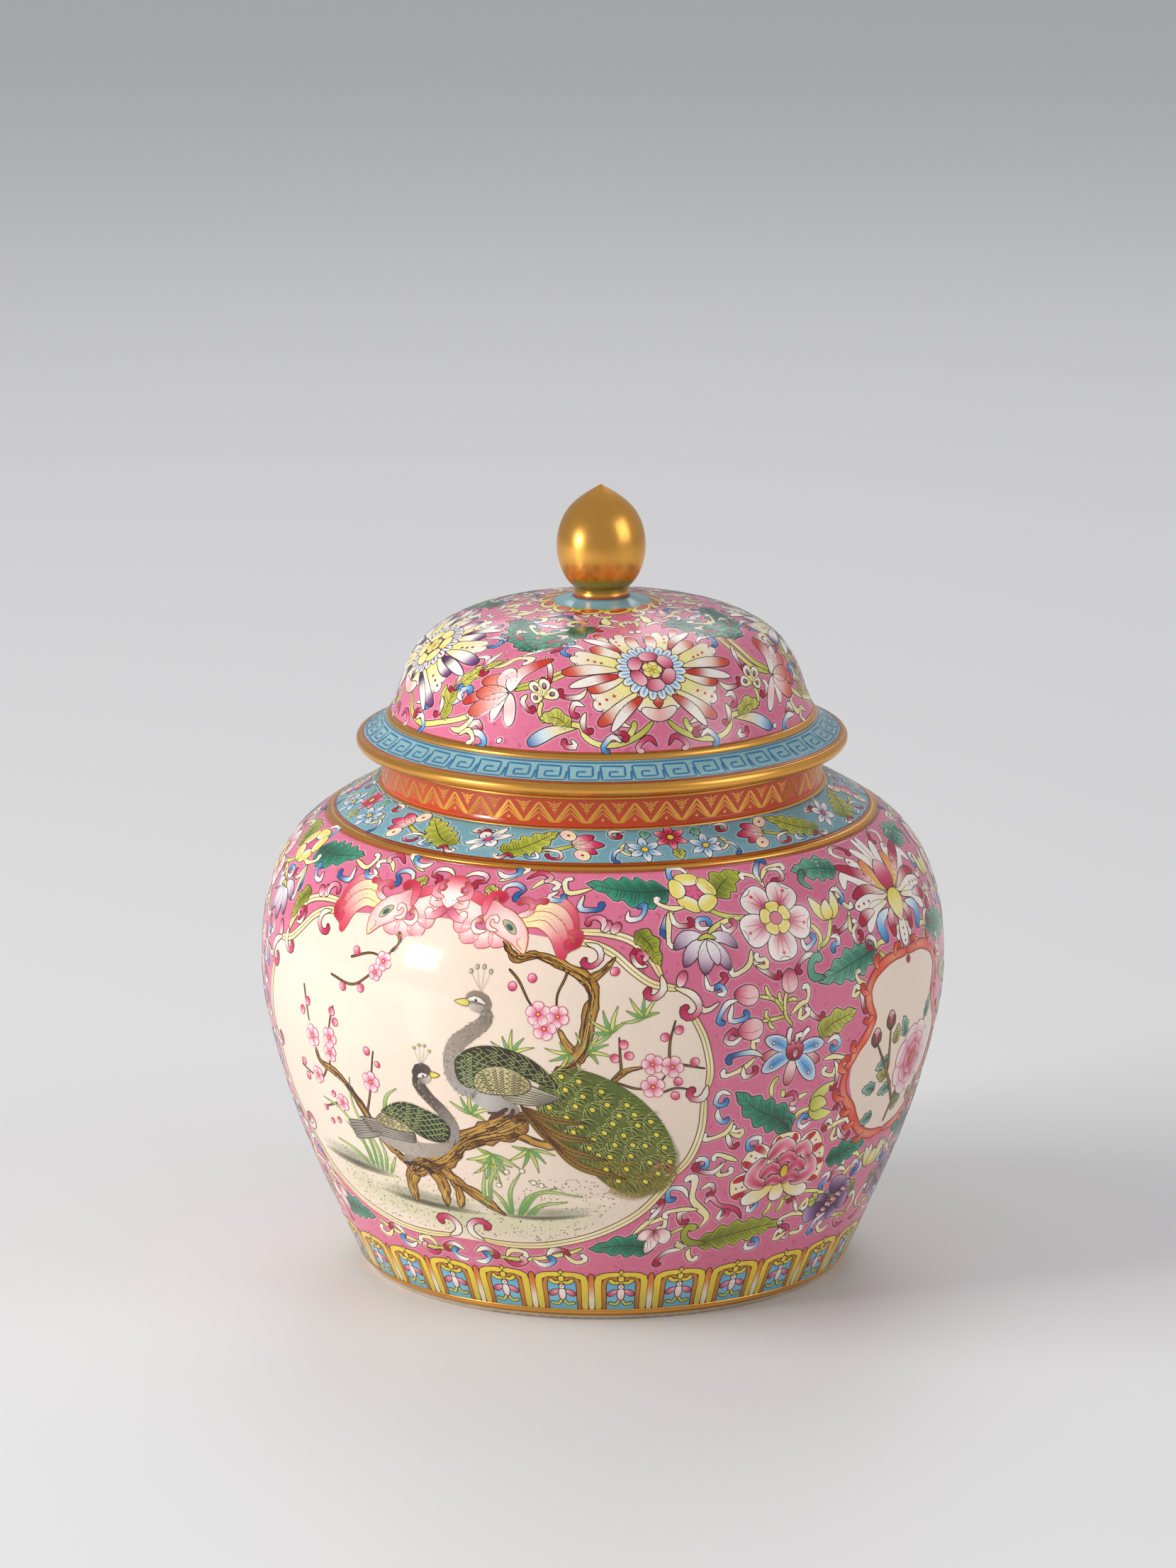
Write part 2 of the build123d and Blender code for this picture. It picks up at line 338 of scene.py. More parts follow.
class Painting:
    """Brushwork in mm: x runs round the wall from the painting's own middle, and y up the wall."""

    PEN, RELIEF, REACH = 0.32, 0.028, 1.15

    def __init__(self, halo=()):
        """halo is the pair of tones of the soft glow left in the ground round each stroke, if any."""
        self.strokes, self.halo = [], halo
        self.pose = np.array([[1.0, 0, 0], [0, 1.0, 0]])

    def put(self, motif, x, y, turn=0, size=1.0, flip=1, **changes):
        """Draws a motif at a place, turned anticlockwise in degrees, scaled, and mirrored if flip is -1."""
        kept, a = self.pose, math.radians(turn)
        c, s = size * math.cos(a), size * math.sin(a)
        local = np.array([[c * flip, -s, x], [s * flip, c, y], [0, 0, 1]])
        self.pose = kept @ local
        motif(self, **changes)
        self.pose = kept

    def add(self, spots, level, tones, quads):
        spots = spots @ self.pose[:, :2].T + self.pose[:, 2]
        if np.linalg.det(self.pose[:, :2]) < 0:
            quads = quads[:, ::-1]
        self.strokes.append((spots, np.broadcast_to(level, len(spots)), tones, quads))

    def dab(self, path, half, tones, shape=PETAL, level=1.0, edge=None, line=OUTLINE, teeth=None):
        """One loaded stroke along a path, shaded from its root to its tip, with a hair line round it.

        Returns its middle line, its left side's direction and its half widths.
        """
        size = math.sqrt(abs(np.linalg.det(self.pose[:, :2])))
        middle = flowing(path, self.REACH / size)
        run = np.concatenate([[0], np.cumsum(np.hypot(*np.diff(middle, axis=0).T))])
        steps = max(len(middle), 7, teeth[0] * 5 if teeth else 0)
        u = np.linspace(0, 1, steps)
        t = u if teeth else u - 0.85 * np.sin(2 * math.pi * u) / (2 * math.pi)
        middle = np.stack([np.interp(t * run[-1], run, middle[:, i]) for i in (0, 1)], axis=1)
        along = np.gradient(middle, axis=0)
        along /= np.maximum(np.hypot(*along.T), 1e-9)[:, None]
        side = np.stack([-along[:, 1], along[:, 0]], axis=1)
        wide = half * np.maximum(swell(shape, t), 0.02)
        if teeth:
            wide = wide * (1 - teeth[1] * np.abs(np.cos(math.pi * teeth[0] * t))**2.5)
        lanes = max(1, min(6, 2 * math.ceil(half * size / 1.3)))
        v = np.linspace(-1, 1, lanes + 1)
        spots = middle[:, None] + side[:, None] * (wide[:, None] * v)[..., None]
        ramp = np.array([colour(tone) for tone in tones])
        shade = np.stack([np.interp(t, np.linspace(0, 1, len(ramp)), ramp[:, i]) for i in range(3)], axis=1)
        shade = np.repeat(shade[:, None], lanes + 1, axis=1)
        if edge:
            share = (np.abs(v)**2.2)[None, :, None]
            shade = shade * (1 - share) + colour(edge) * share
        corner = np.arange(steps * (lanes + 1)).reshape(steps, lanes + 1)
        quads = np.stack([corner[:-1, :-1], corner[1:, :-1], corner[1:, 1:], corner[:-1, 1:]],
            axis=-1).reshape(-1, 4)
        self.add(spots.reshape(-1, 2), level, shade.reshape(-1, 3), quads)
        if line:
            loop = np.concatenate([spots[:, -1], spots[::-1, 0]])
            self.rim(loop, line, level, size)
        return middle, side, wide

    def rim(self, loop, tone, level, size):
        """The drawn line round a dab, sloping down to the ground outside it."""
        ahead = np.roll(loop, -1, axis=0) - np.roll(loop, 1, axis=0)
        ahead /= np.maximum(np.hypot(*ahead.T), 1e-9)[:, None]
        out = np.stack([-ahead[:, 1], ahead[:, 0]], axis=1)
        pen = self.PEN / size
        spots = np.concatenate([loop - 0.25 * pen * out, loop + 0.75 * pen * out])
        levels = np.concatenate([np.full(len(loop), level + 0.5), np.full(len(loop), level - 0.6)])
        k = np.arange(len(loop))
        after = (k + 1) % len(loop)
        quads = np.stack([k, after, after + len(loop), k + len(loop)], axis=1)
        self.add(spots, levels, np.tile(colour(tone), (len(spots), 1)), quads)
        if self.halo and level < 3:
            near, far = (np.tile(colour(code), (len(loop), 1)) for code in self.halo)
            spots = np.concatenate([loop + 0.5 * pen * out, loop + (0.5 * pen + 0.8 / size) * out])
            self.add(spots, -0.75, np.concatenate([near, far]), quads)

    def hair(self, path, half=0.11, tone=OUTLINE, level=2.0, shape=(0.4, 0.4)):
        """A single fine line."""
        self.dab(path, half / math.sqrt(abs(np.linalg.det(self.pose[:, :2]))), (tone,), shape, level,
            line=None)

    def dot(self, x, y, half, tone, level=2.5, line=None):
        self.dab([(x - half, y), (x + half, y)], half, (tone,), EGG, level, line=line)

    def lay(self, name, wall, turn, body, slot, mirrored=False, ground=0.13, paint=None, upright=None):
        """Fires the painting on to a wall, with its middle at a turn in degrees, as one piece.

        Where upright gives a height up the wall, upright strokes stay upright, and x is true at it.
        """
        spots = np.concatenate([stroke[0] for stroke in self.strokes])
        levels = np.concatenate([stroke[1] for stroke in self.strokes])
        tones = np.concatenate([stroke[2] for stroke in self.strokes])
        first = np.cumsum([0, *(len(stroke[0]) for stroke in self.strokes[:-1])])
        quads = np.concatenate([stroke[3] + start for stroke, start in zip(self.strokes, first)])
        x = -spots[:, 0] if mirrored else spots[:, 0]
        quads = quads[:, ::-1] if mirrored else quads
        reach = wall.radius(spots[:, 1] if upright is None else upright)
        places = wall.points(math.radians(turn) + x / reach, spots[:, 1],
                             ground + self.RELIEF * levels)
        mesh = bpy.data.meshes.new(name)
        mesh.vertices.add(len(places))
        mesh.vertices.foreach_set("co", places.astype(np.float32).ravel())
        mesh.loops.add(quads.size)
        mesh.loops.foreach_set("vertex_index", quads.astype(np.int32).ravel())
        mesh.polygons.add(len(quads))
        mesh.polygons.foreach_set("loop_start", np.arange(0, quads.size, 4, dtype=np.int32))
        mesh.update(calc_edges=True)
        painted = mesh.color_attributes.new("brushwork", "FLOAT_COLOR", "POINT")
        painted.data.foreach_set("color", np.concatenate([tones, np.ones((len(tones), 1))], axis=1).ravel())
        mesh.shade_smooth()
        mesh.materials.append(paint or brushed)
        piece = bpy.data.objects.new(name, mesh)
        bpy.context.scene.collection.objects.link(piece)
        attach(piece, body)
        return piece


brushed = glaze("painted_enamel", None, pale=1.06, deep=0.92, cloud=70, rough=(0.12, 0.26), grain=1400,
    bump=0.05)

LAPPETS = 28
LAPPET_MIDDLE = 9.0
lappet_pitch = 2 * math.pi * float(body_wall.radius(LAPPET_MIDDLE)) / LAPPETS


def toward(turn):
    """The direction at a turn in degrees, anticlockwise from +x."""
    turn = math.radians(turn)
    return np.array([math.cos(turn), math.sin(turn)])


def lily(p):
    """A lily hanging from the top of a lappet, with two curling leaves under it."""
    for side in (-1, 1):
        p.dab([(0, 9.2), (side * 2.2, 8.6), (side * 4.3, 6.9)], 1.1, (BLUSH, PINK, CRIMSON), PETAL, 2)
        p.dab([(side * 0.2, 5.4), (side * 1.6, 3.1), (side * 4.1, 3.9)], 0.62, (SPRING, OLIVE), CURL, 2)
        p.dab([(side * 0.3, 12.9), (side * 2.2, 12.4), (side * 3.9, 14)], 0.75, (YELLOW, YELLOW), CURL, 3)
    p.dab([(0, 10.4), (0, 7.5), (0, 5.0)], 1.25, (WHITE, BLUSH), EGG, 3)
    p.dab([(0, 15.4), (0, 11.7)], 1.0, (YELLOW, YELLOW), (1, 0.9, 0.55), 2.4)
    p.dot(0, 10.8, 0.95, WHITE, 4, OUTLINE)
    p.dot(0, 10.8, 0.35, ROSE, 5)


def lappet(p):
    """One lappet and the post on its right."""
    half = lappet_pitch / 2
    frame_half = half - 1.35
    p.dab([(0, 0), (0, 14.4)], frame_half - 1.6, ("5f9fb4", "7fc0d8", "63a8c8"), (1, 1, 1), 0.3, line=None)
    for side in (-1, 1):
        p.dab([(side * (frame_half - 2.8), 0), (side * (frame_half - 2.8), 7),
            (side * (frame_half - 2.8), 12), (side * (frame_half - 3.6), 13.9), (side * 2.2, 14.4),
            (side * 0.9, 13.2)], 0.74, ("a05a18", "c8821e", "c8821e"), VINE, 1.2)
        p.dab([(side * (frame_half - 0.9), 0), (side * (frame_half - 0.9), 7),
            (side * (frame_half - 0.9), 13.4), (side * (frame_half - 1.9), 15.2), (side * 2.6, 15.9),
            (0, 16.3)], 1.2, ("c8b44a", "ecca3a", "f4d83c"), VINE, 1)
        p.dab([(side * half, 0), (side * half, 8.5), (side * half, 16.4)], 1.0,
            ("d9c9a4", "e8dcc0", "e08a3c", "dc6a1c"), VINE, 0.8 if side > 0 else -0.2)
    p.dab([(0, 16.4), (0, 18.2)], 1.1, ("f4d83c", "e6bf34"), (0.9, 0.5, 0.05), 1.4)
    lily(p)


for quarter in range(4):
    lappets = Painting()
    for k in range(LAPPETS // 4):
        lappets.put(lappet, (k - 3) * lappet_pitch, 0)
    lappets.lay(f"lappets_{quarter + 1}", body_wall, 45 + 90 * quarter, "jar", "turquoise_enamel",
        upright=LAPPET_MIDDLE)

# --- Flower fields on the pink ground --------------------------------------------------------
# Between the large panels and the small ones the pink is filled with lotus, camellia, orchid and
# peony on yellow-green stems, and with curled leaves. One field is repeated, turned and mirrored.

TINTS = {"red": (CREAM, WHITE, CRIMSON, CRIMSON), "blue": (CREAM, PALE_BLUE, BLUE, BLUE),
    "cream": (LEMON, CREAM, WHITE), "rose": (CRIMSON, ROSE, BLUSH), "ice": (WHITE, WHITE, SKY, BLUE),
    "blush": (WHITE, WHITE, ROSE, CRIMSON), }


def curls(p, *strokes, half=0.95, level=1.0):
    """Curled leaf tips: each is a tint and the path it follows from its root, and it ends in a hook."""
    for k, (tint, path) in enumerate(strokes):
        path = np.array(path, float)
        before, ahead = path[1] - path[0], path[-1] - path[-2]
        ahead = ahead / np.hypot(*ahead)
        bend = 1 if before[0] * ahead[1] - before[1] * ahead[0] >= 0 else -1
        aside = bend * np.array([-ahead[1], ahead[0]])
        reach = half * 1.25
        hook = [path[-1] + reach * (math.sin(turn) * ahead + (1 - math.cos(turn)) * aside)
            for turn in (1.2, 2.3, 3.4)]
        p.dab([*path, *hook], half, TINTS[tint], CURL, level + 0.5 * (k % 3))


def stem(p, *paths, half=0.62, level=0.4):
    """Yellow-green stems."""
    for path in paths:
        p.dab(path, half, (OLIVE, SPRING, LEMON, SPRING), VINE, level)


LEAF_LEVEL = 1.2


def leaf(p, path, half, tones, lobes=7, veins=True):
    """A lobed leaf from its stalk to its tip, with a midrib and paired veins."""
    middle, side, wide = p.dab(path, half, tones, LEAF, LEAF_LEVEL, edge=tones[-1],
        teeth=(max(3, lobes // 2 + 1), 0.34))
    if not veins:
        return
    p.hair(middle[2:-2:4], 0.14, level=LEAF_LEVEL + 1)
    count = lobes * 2
    for k in range(1, count):
        i = int(len(middle) * k / (count + 1))
        j = min(len(middle) - 1, i + len(middle) // 9)
        for hand in (-1, 1):
            tip = middle[j] + side[j] * hand * wide[j] * 0.82
            p.hair([middle[i], (middle[i] * 0.4 + tip * 0.6) + side[i] * hand * 0.15 * half, tip], 0.08,
                   level=LEAF_LEVEL + 0.9)


DEEP_GREEN, SEA_GREEN = (PINE, "187355", "3fa07c"), ("1d6350", "4a9478", "7dbb9c")
YELLOW_GREEN = ("6d7610", FERN, OLIVE)


def camellia(p):
    """A yellow camellia of five cupped petals round a pink heart."""
    p.dab([(-4.2, 0), (4.2, 0)], 4.2, ("d94b74", "e0668a", "d94b74"), EGG, 1, line=None)
    for k in range(5):
        out = toward(90 + 72 * k)
        p.dab([out * 2.5, out * 5, out * 7.7], 4.0, (WHITE, LEMON, YELLOW, LEMON), (0.5, 0.36),
            2 + 0.6 * (k % 2))
        p.hair([out * 3.2, out * 0.9], 0.09, CRIMSON, 2.4)


def rose_mallow(p):
    """A white flower of five round petals with crimson throats and a small yellow rosette."""
    for k, reach in enumerate((14.2, 13.4, 13.2, 13.0, 13.8)):
        a = math.radians(-88 + 72 * k)
        out, across = np.array([math.cos(a), math.sin(a)]), np.array([-math.sin(a), math.cos(a)])
        level = 2 + 0.7 * (k % 3)
        p.dab([out * 3, out * 8, out * reach], 5.6, (ROSE, BLUSH, WHITE), (0.55, 0.34), level, edge=WHITE)
        p.dab([out * 3.6, out * 8, out * (reach - 1.2)], 4.4, (CRIMSON, ROSE, BLUSH, "fbe4e0"), (0.6, 0.4),
              level + 0.8, edge="fbe9e4", line=None)
        for hand in (-1, 0, 1):
            p.hair([out * 5, out * 8 + across * hand * 1.4, out * (reach - 2) + across * hand * 2.6], 0.1,
                CRIMSON, level + 1.4)
        p.hair([out * (reach - 0.4) + across * 2.4, out * (reach - 1.5), out * (reach - 0.7)
            - across * 2.2], 0.12, level=level + 1.3)
        p.dot(*(out * (reach - 2.6)), 0.62, ROSE, level + 1.5)
    for k in range(5):
        out = toward(-52 + 72 * k)
        p.dab([out * 1.6, out * 3.4, out * 5.8], 2.6, (LEMON, YELLOW, LEMON), (0.5, 0.36),
            5 + 0.5 * (k % 2))
    p.dab([(-2.3, 0), (2.3, 0)], 2.2, ("d94b74", "e0668a"), EGG, 6)


def hanging_lotus(p):
    """A white lotus hanging head down, its pointed petals tipped with purple."""
    for tip, half, bow in (((-11.6, -2.6), 2.3, 2.6), ((10, -3.6), 2.0, 2.4), ((-9.2, -8.4), 2.3, 1.6),
                           ((6.2, -10.6), 2.2, 1.2), ((-2.6, -11.4), 2.7, 0.4)):
        tip = np.array(tip)
        p.dab([(0, 0), tip * 0.55 + (0, bow), tip], half, (WHITE, "efe2e4", LILAC, PLUM), (0.7, 0.7),
              2 + 0.4 * abs(tip[1]) / 3)
    p.dab([(0, -0.5), (1.6, -4.2), (2.2, -8.6)], 1.9, (WHITE, "efe2e4", LILAC), (0.7, 0.7), 4)
    p.dab([(-3, 0), (0, 1.2), (3, 0)], 0.8, (OLIVE, SPRING, OLIVE), EGG, 5)


def tulip(p, tones=(YELLOW, LEMON, WHITE)):
    """A cup of three pointed petals."""
    for path, half, level in (([(0.6, 0), (3.4, 3.8), (3.6, 9)], 2.1, 2),
            ([(-0.6, 0), (-4, 3.6), (-6.6, 8.4)], 2.1, 2), ([(0, -0.3), (-0.6, 3), (0.3, 6.4)], 2.5, 3)):
        p.dab(path, half, tones, (0.45, 0.8), level)


def bud(p):
    """A round pink bud with a crimson tip, which points along +x from its stalk."""
    p.dab([(-3.9, 0), (0, 0), (5.0, 0)], 3.5, (BLUSH, BLUSH, PINK, CRIMSON), (0.45, 0.62), 2)
    p.hair([(-3.6, 0.2), (0, 1.1), (3.6, 0.3)], 0.08, CRIMSON, 3)


def orchid(p):
    """A blue orchid: four blue petals, three white ones tipped with crimson, and a crowned lip."""
    for tip, half in (((-11.4, 6.2), 2.6), ((12, 1.6), 2.5), ((-12, -5), 2.8), ((8.8, -11), 2.9)):
        tip = np.array(tip)
        p.dab([(0, 0), tip * 0.5 + (0, 0.8), tip], half, (PALE_BLUE, SKY, "3b86c2", PALE_BLUE),
            (0.75, 0.6), 3, edge="eef4f4")
        p.dot(*(tip * 0.72), 0.5, WHITE, 4.2, OUTLINE)
        p.hair([tip * 0.3, tip * 0.55 + (0, 0.5), tip * 0.64], 0.1, BLUE, 4)
    for tip in ((-12.6, 0.2), (10.6, -4.4), (-2, -11.4)):
        tip = np.array(tip)
        p.dab([(0, 0), tip * 0.6, tip], 2.1, (WHITE, BLUSH, CRIMSON), (0.8, 0.5), 2)
    p.dab([(0, -2.6), (0, 1.5), (-0.2, 4.4)], 3.4, ("8e1030", CRIMSON, PINK), (0.35, 0.3), 5)
    for path in ([(-2, 3), (-2.6, 6.2), (-1.6, 8.8)], [(2, 3), (3.4, 6), (5.8, 7.6)],
            [(0.3, 3), (0.8, 6), (3.2, 5.6)]):
        p.dab(path, 0.95, (CRIMSON, WHITE, WHITE), CURL, 5.6)
    p.dab([(0, -1.6), (0.5, 1.6)], 1.0, (BLUSH, CRIMSON), EGG, 6)


def peony(p):
    """A full peony: spotted cream petals flamed with crimson, round a crimson and white heart."""
    for spot in ((-15.6, -5.2, 188, 5.4), (16, -3.4, -10, 5.4), (-12.6, 7, 150, 5.4), (12.4, 8.6, 36, 5.6),
                 (0, 11.6, 92, 5.8), (15.4, 3, 14, 3.6)):
        x, y, turn, half = spot
        out, across = (np.array([math.cos(math.radians(turn + a)), math.sin(math.radians(turn + a))])
            for a in (0, 90))
        place = np.array([x, y])
        p.dab([place * 0.3, place * 0.7, place + out * 2.6], half, (CREAM, WHITE, CREAM), (0.6, 0.33),
            1 + half % 1)
        for hand in (-1, 1):
            p.dab([place * 0.62 + across * hand * 2.2, place * 0.9 + across * hand * 3.4, place + out * 1.8
                + across * hand * 3.0], 1.35, (CREAM, CRIMSON, "cf2a2a"), (0.9, 0.5), 3, line=None)
        for reach in (-1.8, 0.4):
            p.dot(*(place + out * reach), 0.42, CRIMSON, 3.4)
    for x, turn in ((-8, 205), (8.5, -26), (0.4, -90)):
        a = math.radians(turn)
        tip = np.array([math.cos(a) * 9 + x * 0.6, -10 + math.sin(a) * 2.6])
        p.dab([(x * 0.2, -5), (x * 0.8, -8.6), tip], 2.9, (YELLOW, CREAM, WHITE), (0.6, 0.4), 3.6)
    for path, half in (([(-5, -6), (-11, -2), (-7.4, 5.6)], 3.0), ([(5, -6), (13, -3.4), (10.6, 3.6)], 3.0),
                       ([(-6, 5), (-1, 9.8), (4, 6)], 3.0), ([(3.4, 4.6), (8, 7.4), (10.6, 2.6)], 2.9)):
        p.dab(path, half, (CRIMSON, ROSE, PINK, CRIMSON), (0.4, 0.4), 4.2, edge="f8ddd4")
    for path, half in (([(-7.4, -2.2), (-4.4, 1.4), (-0.8, -0.6)], 2.3),
            ([(2.6, -1.2), (6.2, 1.6), (9.6, -1.4)], 2.3), ([(-5, -5.2), (-2.4, -3.4), (0.8, -5.4)], 2.1),
            ([(1.2, -5.6), (4.6, -3.2), (8, -5)], 2.1), ([(-2, 3), (1.6, 5), (5.4, 2.6)], 2.0)):
        p.dab(path, half, (CRIMSON, ROSE, CRIMSON), (0.35, 0.35), 5.2, edge="f0a8b0")
    p.dab([(1.6, -3.4), (1.3, 1.4)], 1.5, (YELLOW, GOLD), EGG, 6)


def seed_flower(p):
    """A purple scalloped flower that shows its rows of pink seeds."""
    for x, y, half in ((2, 9, 4.6), (-7.5, 1.2, 3.6), (-11.5, -3.2, 3.9), (-3, -7.2, 4.0), (3.4, -6.4, 3.4),
                       (8.6, -1.4, 3.8), (8.2, 4.6, 3.6), (-3, 5, 4.0)):
        p.dab([(x * 0.3, y * 0.3), (x * 0.7, y * 0.7), (x * 1.12, y * 1.12)], half,
              (PLUM, "5d3466", "8d6a98", LILAC), (0.5, 0.34), 1 + half % 1)
    for row, count in ((0, 6), (1, 5), (2, 4)):
        for k in range(count):
            x, y = -5.2 + k * 2.35 + row * 1.5, -4.2 + k * 1.5 + row * 1.9
            p.dab([(x, y - 1.0), (x, y + 0.9)], 0.95, (WHITE, "e79aa6", CRIMSON), EGG, 4 + 0.3 * row)
    for turn in (120, 165, 210):
        a = math.radians(turn)
        p.dab([(-8.4, 2.6), (-8.4 + 3.6 * math.cos(a), 2.6 + 3.6 * math.sin(a))], 1.2, (OLIVE, SPRING),
            PETAL, 4)


GLOW = ("efafc0", PINK_TONE)


def upper_field():
    """The upper half of one field, from the shoulder down to the orchid."""
    p = Painting(GLOW)
    stem(p, [(-27.5, 149), (-22, 146), (-15, 144.5), (-10, 144)], [(-30, 138), (-27, 142), (-21, 144.4),
        (-16, 144.6)], [(10, 130), (12, 134.5), (9, 139)], [(11, 131), (15, 133.4), (17.8, 139.5)],
        half=0.8)
    stem(p, [(-2, 107), (-4.6, 110.5), (-5, 115), (-4, 119)], [(-5, 110.6), (-9, 110.2), (-13.6, 110)],
         [(-5.4, 112), (-8.5, 116.5), (-14.5, 118.4)], [(-8.6, 116), (-11, 118.6), (-12, 121.6)],
         [(-5.6, 114), (-7, 117), (-7, 119)], [(-10.6, 110), (-12.4, 111.8), (-11.6, 113.6)],
         [(-11, 110), (-10.6, 108), (-9, 107)], [(-4, 115.4), (-2, 116), (0, 115.4)])
    leaf(p, [(-37, 156.5), (-48, 156.4), (-62, 160)], 6.6, DEEP_GREEN, 9)
    leaf(p, [(-23, 153), (-17.5, 158), (-10, 162)], 5.4, YELLOW_GREEN, 5)
    leaf(p, [(28, 155), (20, 157.4), (9, 158.5)], 5.4, SEA_GREEN, 7)
    p.dab([(14, 158), (10.8, 154), (14, 150.4)], 1.4, ("2f6f5a", "7dbb9c"), TAPER, 2)
    leaf(p, [(37, 126), (24, 123.4), (9, 119.6)], 6.2, SEA_GREEN, 9)
    p.dab([(12, 121), (6.6, 122), (6.2, 126), (9, 128.4), (10.8, 126.6)], 1.5, ("4a9478", "7dbb9c"), CURL,
        2)
    leaf(p, [(9.5, 101), (13, 104.6), (26, 107.6)], 4.6, ("8f8a1c", "b3b23e", "cdc95e"), 5)
    p.put(camellia, -29, 155.2)
    p.put(rose_mallow, -4, 143)
    p.put(hanging_lotus, -30, 138.6)
    p.put(tulip, 17.4, 139.6)
    p.put(bud, -18.4, 119.2, 170)
    p.put(bud, -2.6, 121.6, 90, 0.92)
    p.put(bud, -17.2, 107.8, 184, 1.05)
    curls(p, ("ice", [(-27.5, 161.5), (-28.6, 165), (-32.4, 165.4), (-34, 162)]),
        ("cream", [(-4, 154), (-5, 158), (-8.4, 160.2)]),
        ("blue", [(-4.2, 156), (-4.4, 160), (-1, 164.6)]), ("cream", [(-3.8, 157), (0, 161), (5.6, 162)]),
        ("red", [(0, 160.6), (4.6, 160), (4.4, 156), (1.4, 156.4)]),
        ("cream", [(-34, 150), (-38.6, 149.8), (-42, 151.4)]),
        ("blue", [(-38, 149.4), (-41, 146.5), (-44, 142.4)]),
        ("cream", [(-40, 148.6), (-41.4, 144), (-42.8, 138.4)]),
        ("red", [(-39.4, 149), (-39, 144.2), (-34.6, 143.6)]),
        ("ice", [(-28, 142.6), (-31.4, 142.2), (-32, 145), (-29, 145.6)]),
        ("blush", [(-24, 143.4), (-22.6, 140.4), (-19.6, 141.8)]),
        ("cream", [(-15.4, 134), (-17, 129), (-22, 126.4)]),
        ("red", [(-16, 130.6), (-12, 126.6), (-8, 123.8)]),
        ("cream", [(-14.6, 128.6), (-10.8, 127.6), (-10.6, 130.4), (-12.8, 130)]),
        ("ice", [(4, 135.4), (5, 131.4), (8.6, 133.2)]), ("red", [(9.4, 129), (5, 129.2), (1, 126.4)]),
        ("ice", [(15.8, 133.4), (19, 133.6), (19.4, 130.8), (17.4, 131)]),
        ("ice", [(21, 148.4), (23.8, 148.6), (25.6, 146)]),
        ("cream", [(30, 141), (26.4, 141.6), (24.4, 144.2)]),
        ("red", [(27, 140.6), (25.2, 136.6), (20, 134.4)]),
        ("cream", [(26.4, 139), (25.6, 133.6), (28.2, 134.6)]),
        ("blush", [(-32.8, 127), (-31.6, 122.4), (-26.4, 124.6)]),
        ("ice", [(-29.6, 120.6), (-26.4, 120.4), (-27, 122.6)]),
        ("ice", [(-22, 118), (-26, 117.2), (-29, 112.6)]),
        ("ice", [(-24, 117), (-25, 111.4), (-20, 111.6)]),
        ("blush", [(-20.4, 106), (-24, 103.6), (-27, 105), (-25, 107.6)]),
        ("cream", [(-3, 110.6), (1, 113.8), (4, 114.6), (4.6, 118.2)]),
        ("red", [(3, 114), (5.2, 110), (8.6, 107.6)]),
        ("cream", [(1.6, 113.6), (0.6, 108.8), (3.6, 109.6)]),
        ("blue", [(-13, 98), (-17.4, 100), (-24.6, 99.4)]), ("cream", [(-16, 99.4), (-17, 102.6)]),
        ("cream", [(-15.6, 98), (-20, 94.6), (-25.6, 92.6)]),
        ("red", [(-20, 95.4), (-19.4, 91.6), (-16, 92.2)]),
        ("ice", [(12, 98.6), (16, 100.4), (18.4, 97.8), (16.4, 96)]),
        ("cream", [(11, 93), (15.6, 93.4), (20.6, 92)]), ("red", [(16.4, 92), (18.4, 88), (18.4, 82.6)]),
        ("cream", [(17, 91), (16.6, 86.6), (12.6, 87.6)]),
        ("cream", [(30.6, 116), (27.6, 116.6), (26, 118.6)]),
        ("red", [(28.4, 116), (28.4, 111.6), (29.2, 107)]),
        ("cream", [(28, 113.6), (24, 112.4), (24.6, 114.8)]))
    return p


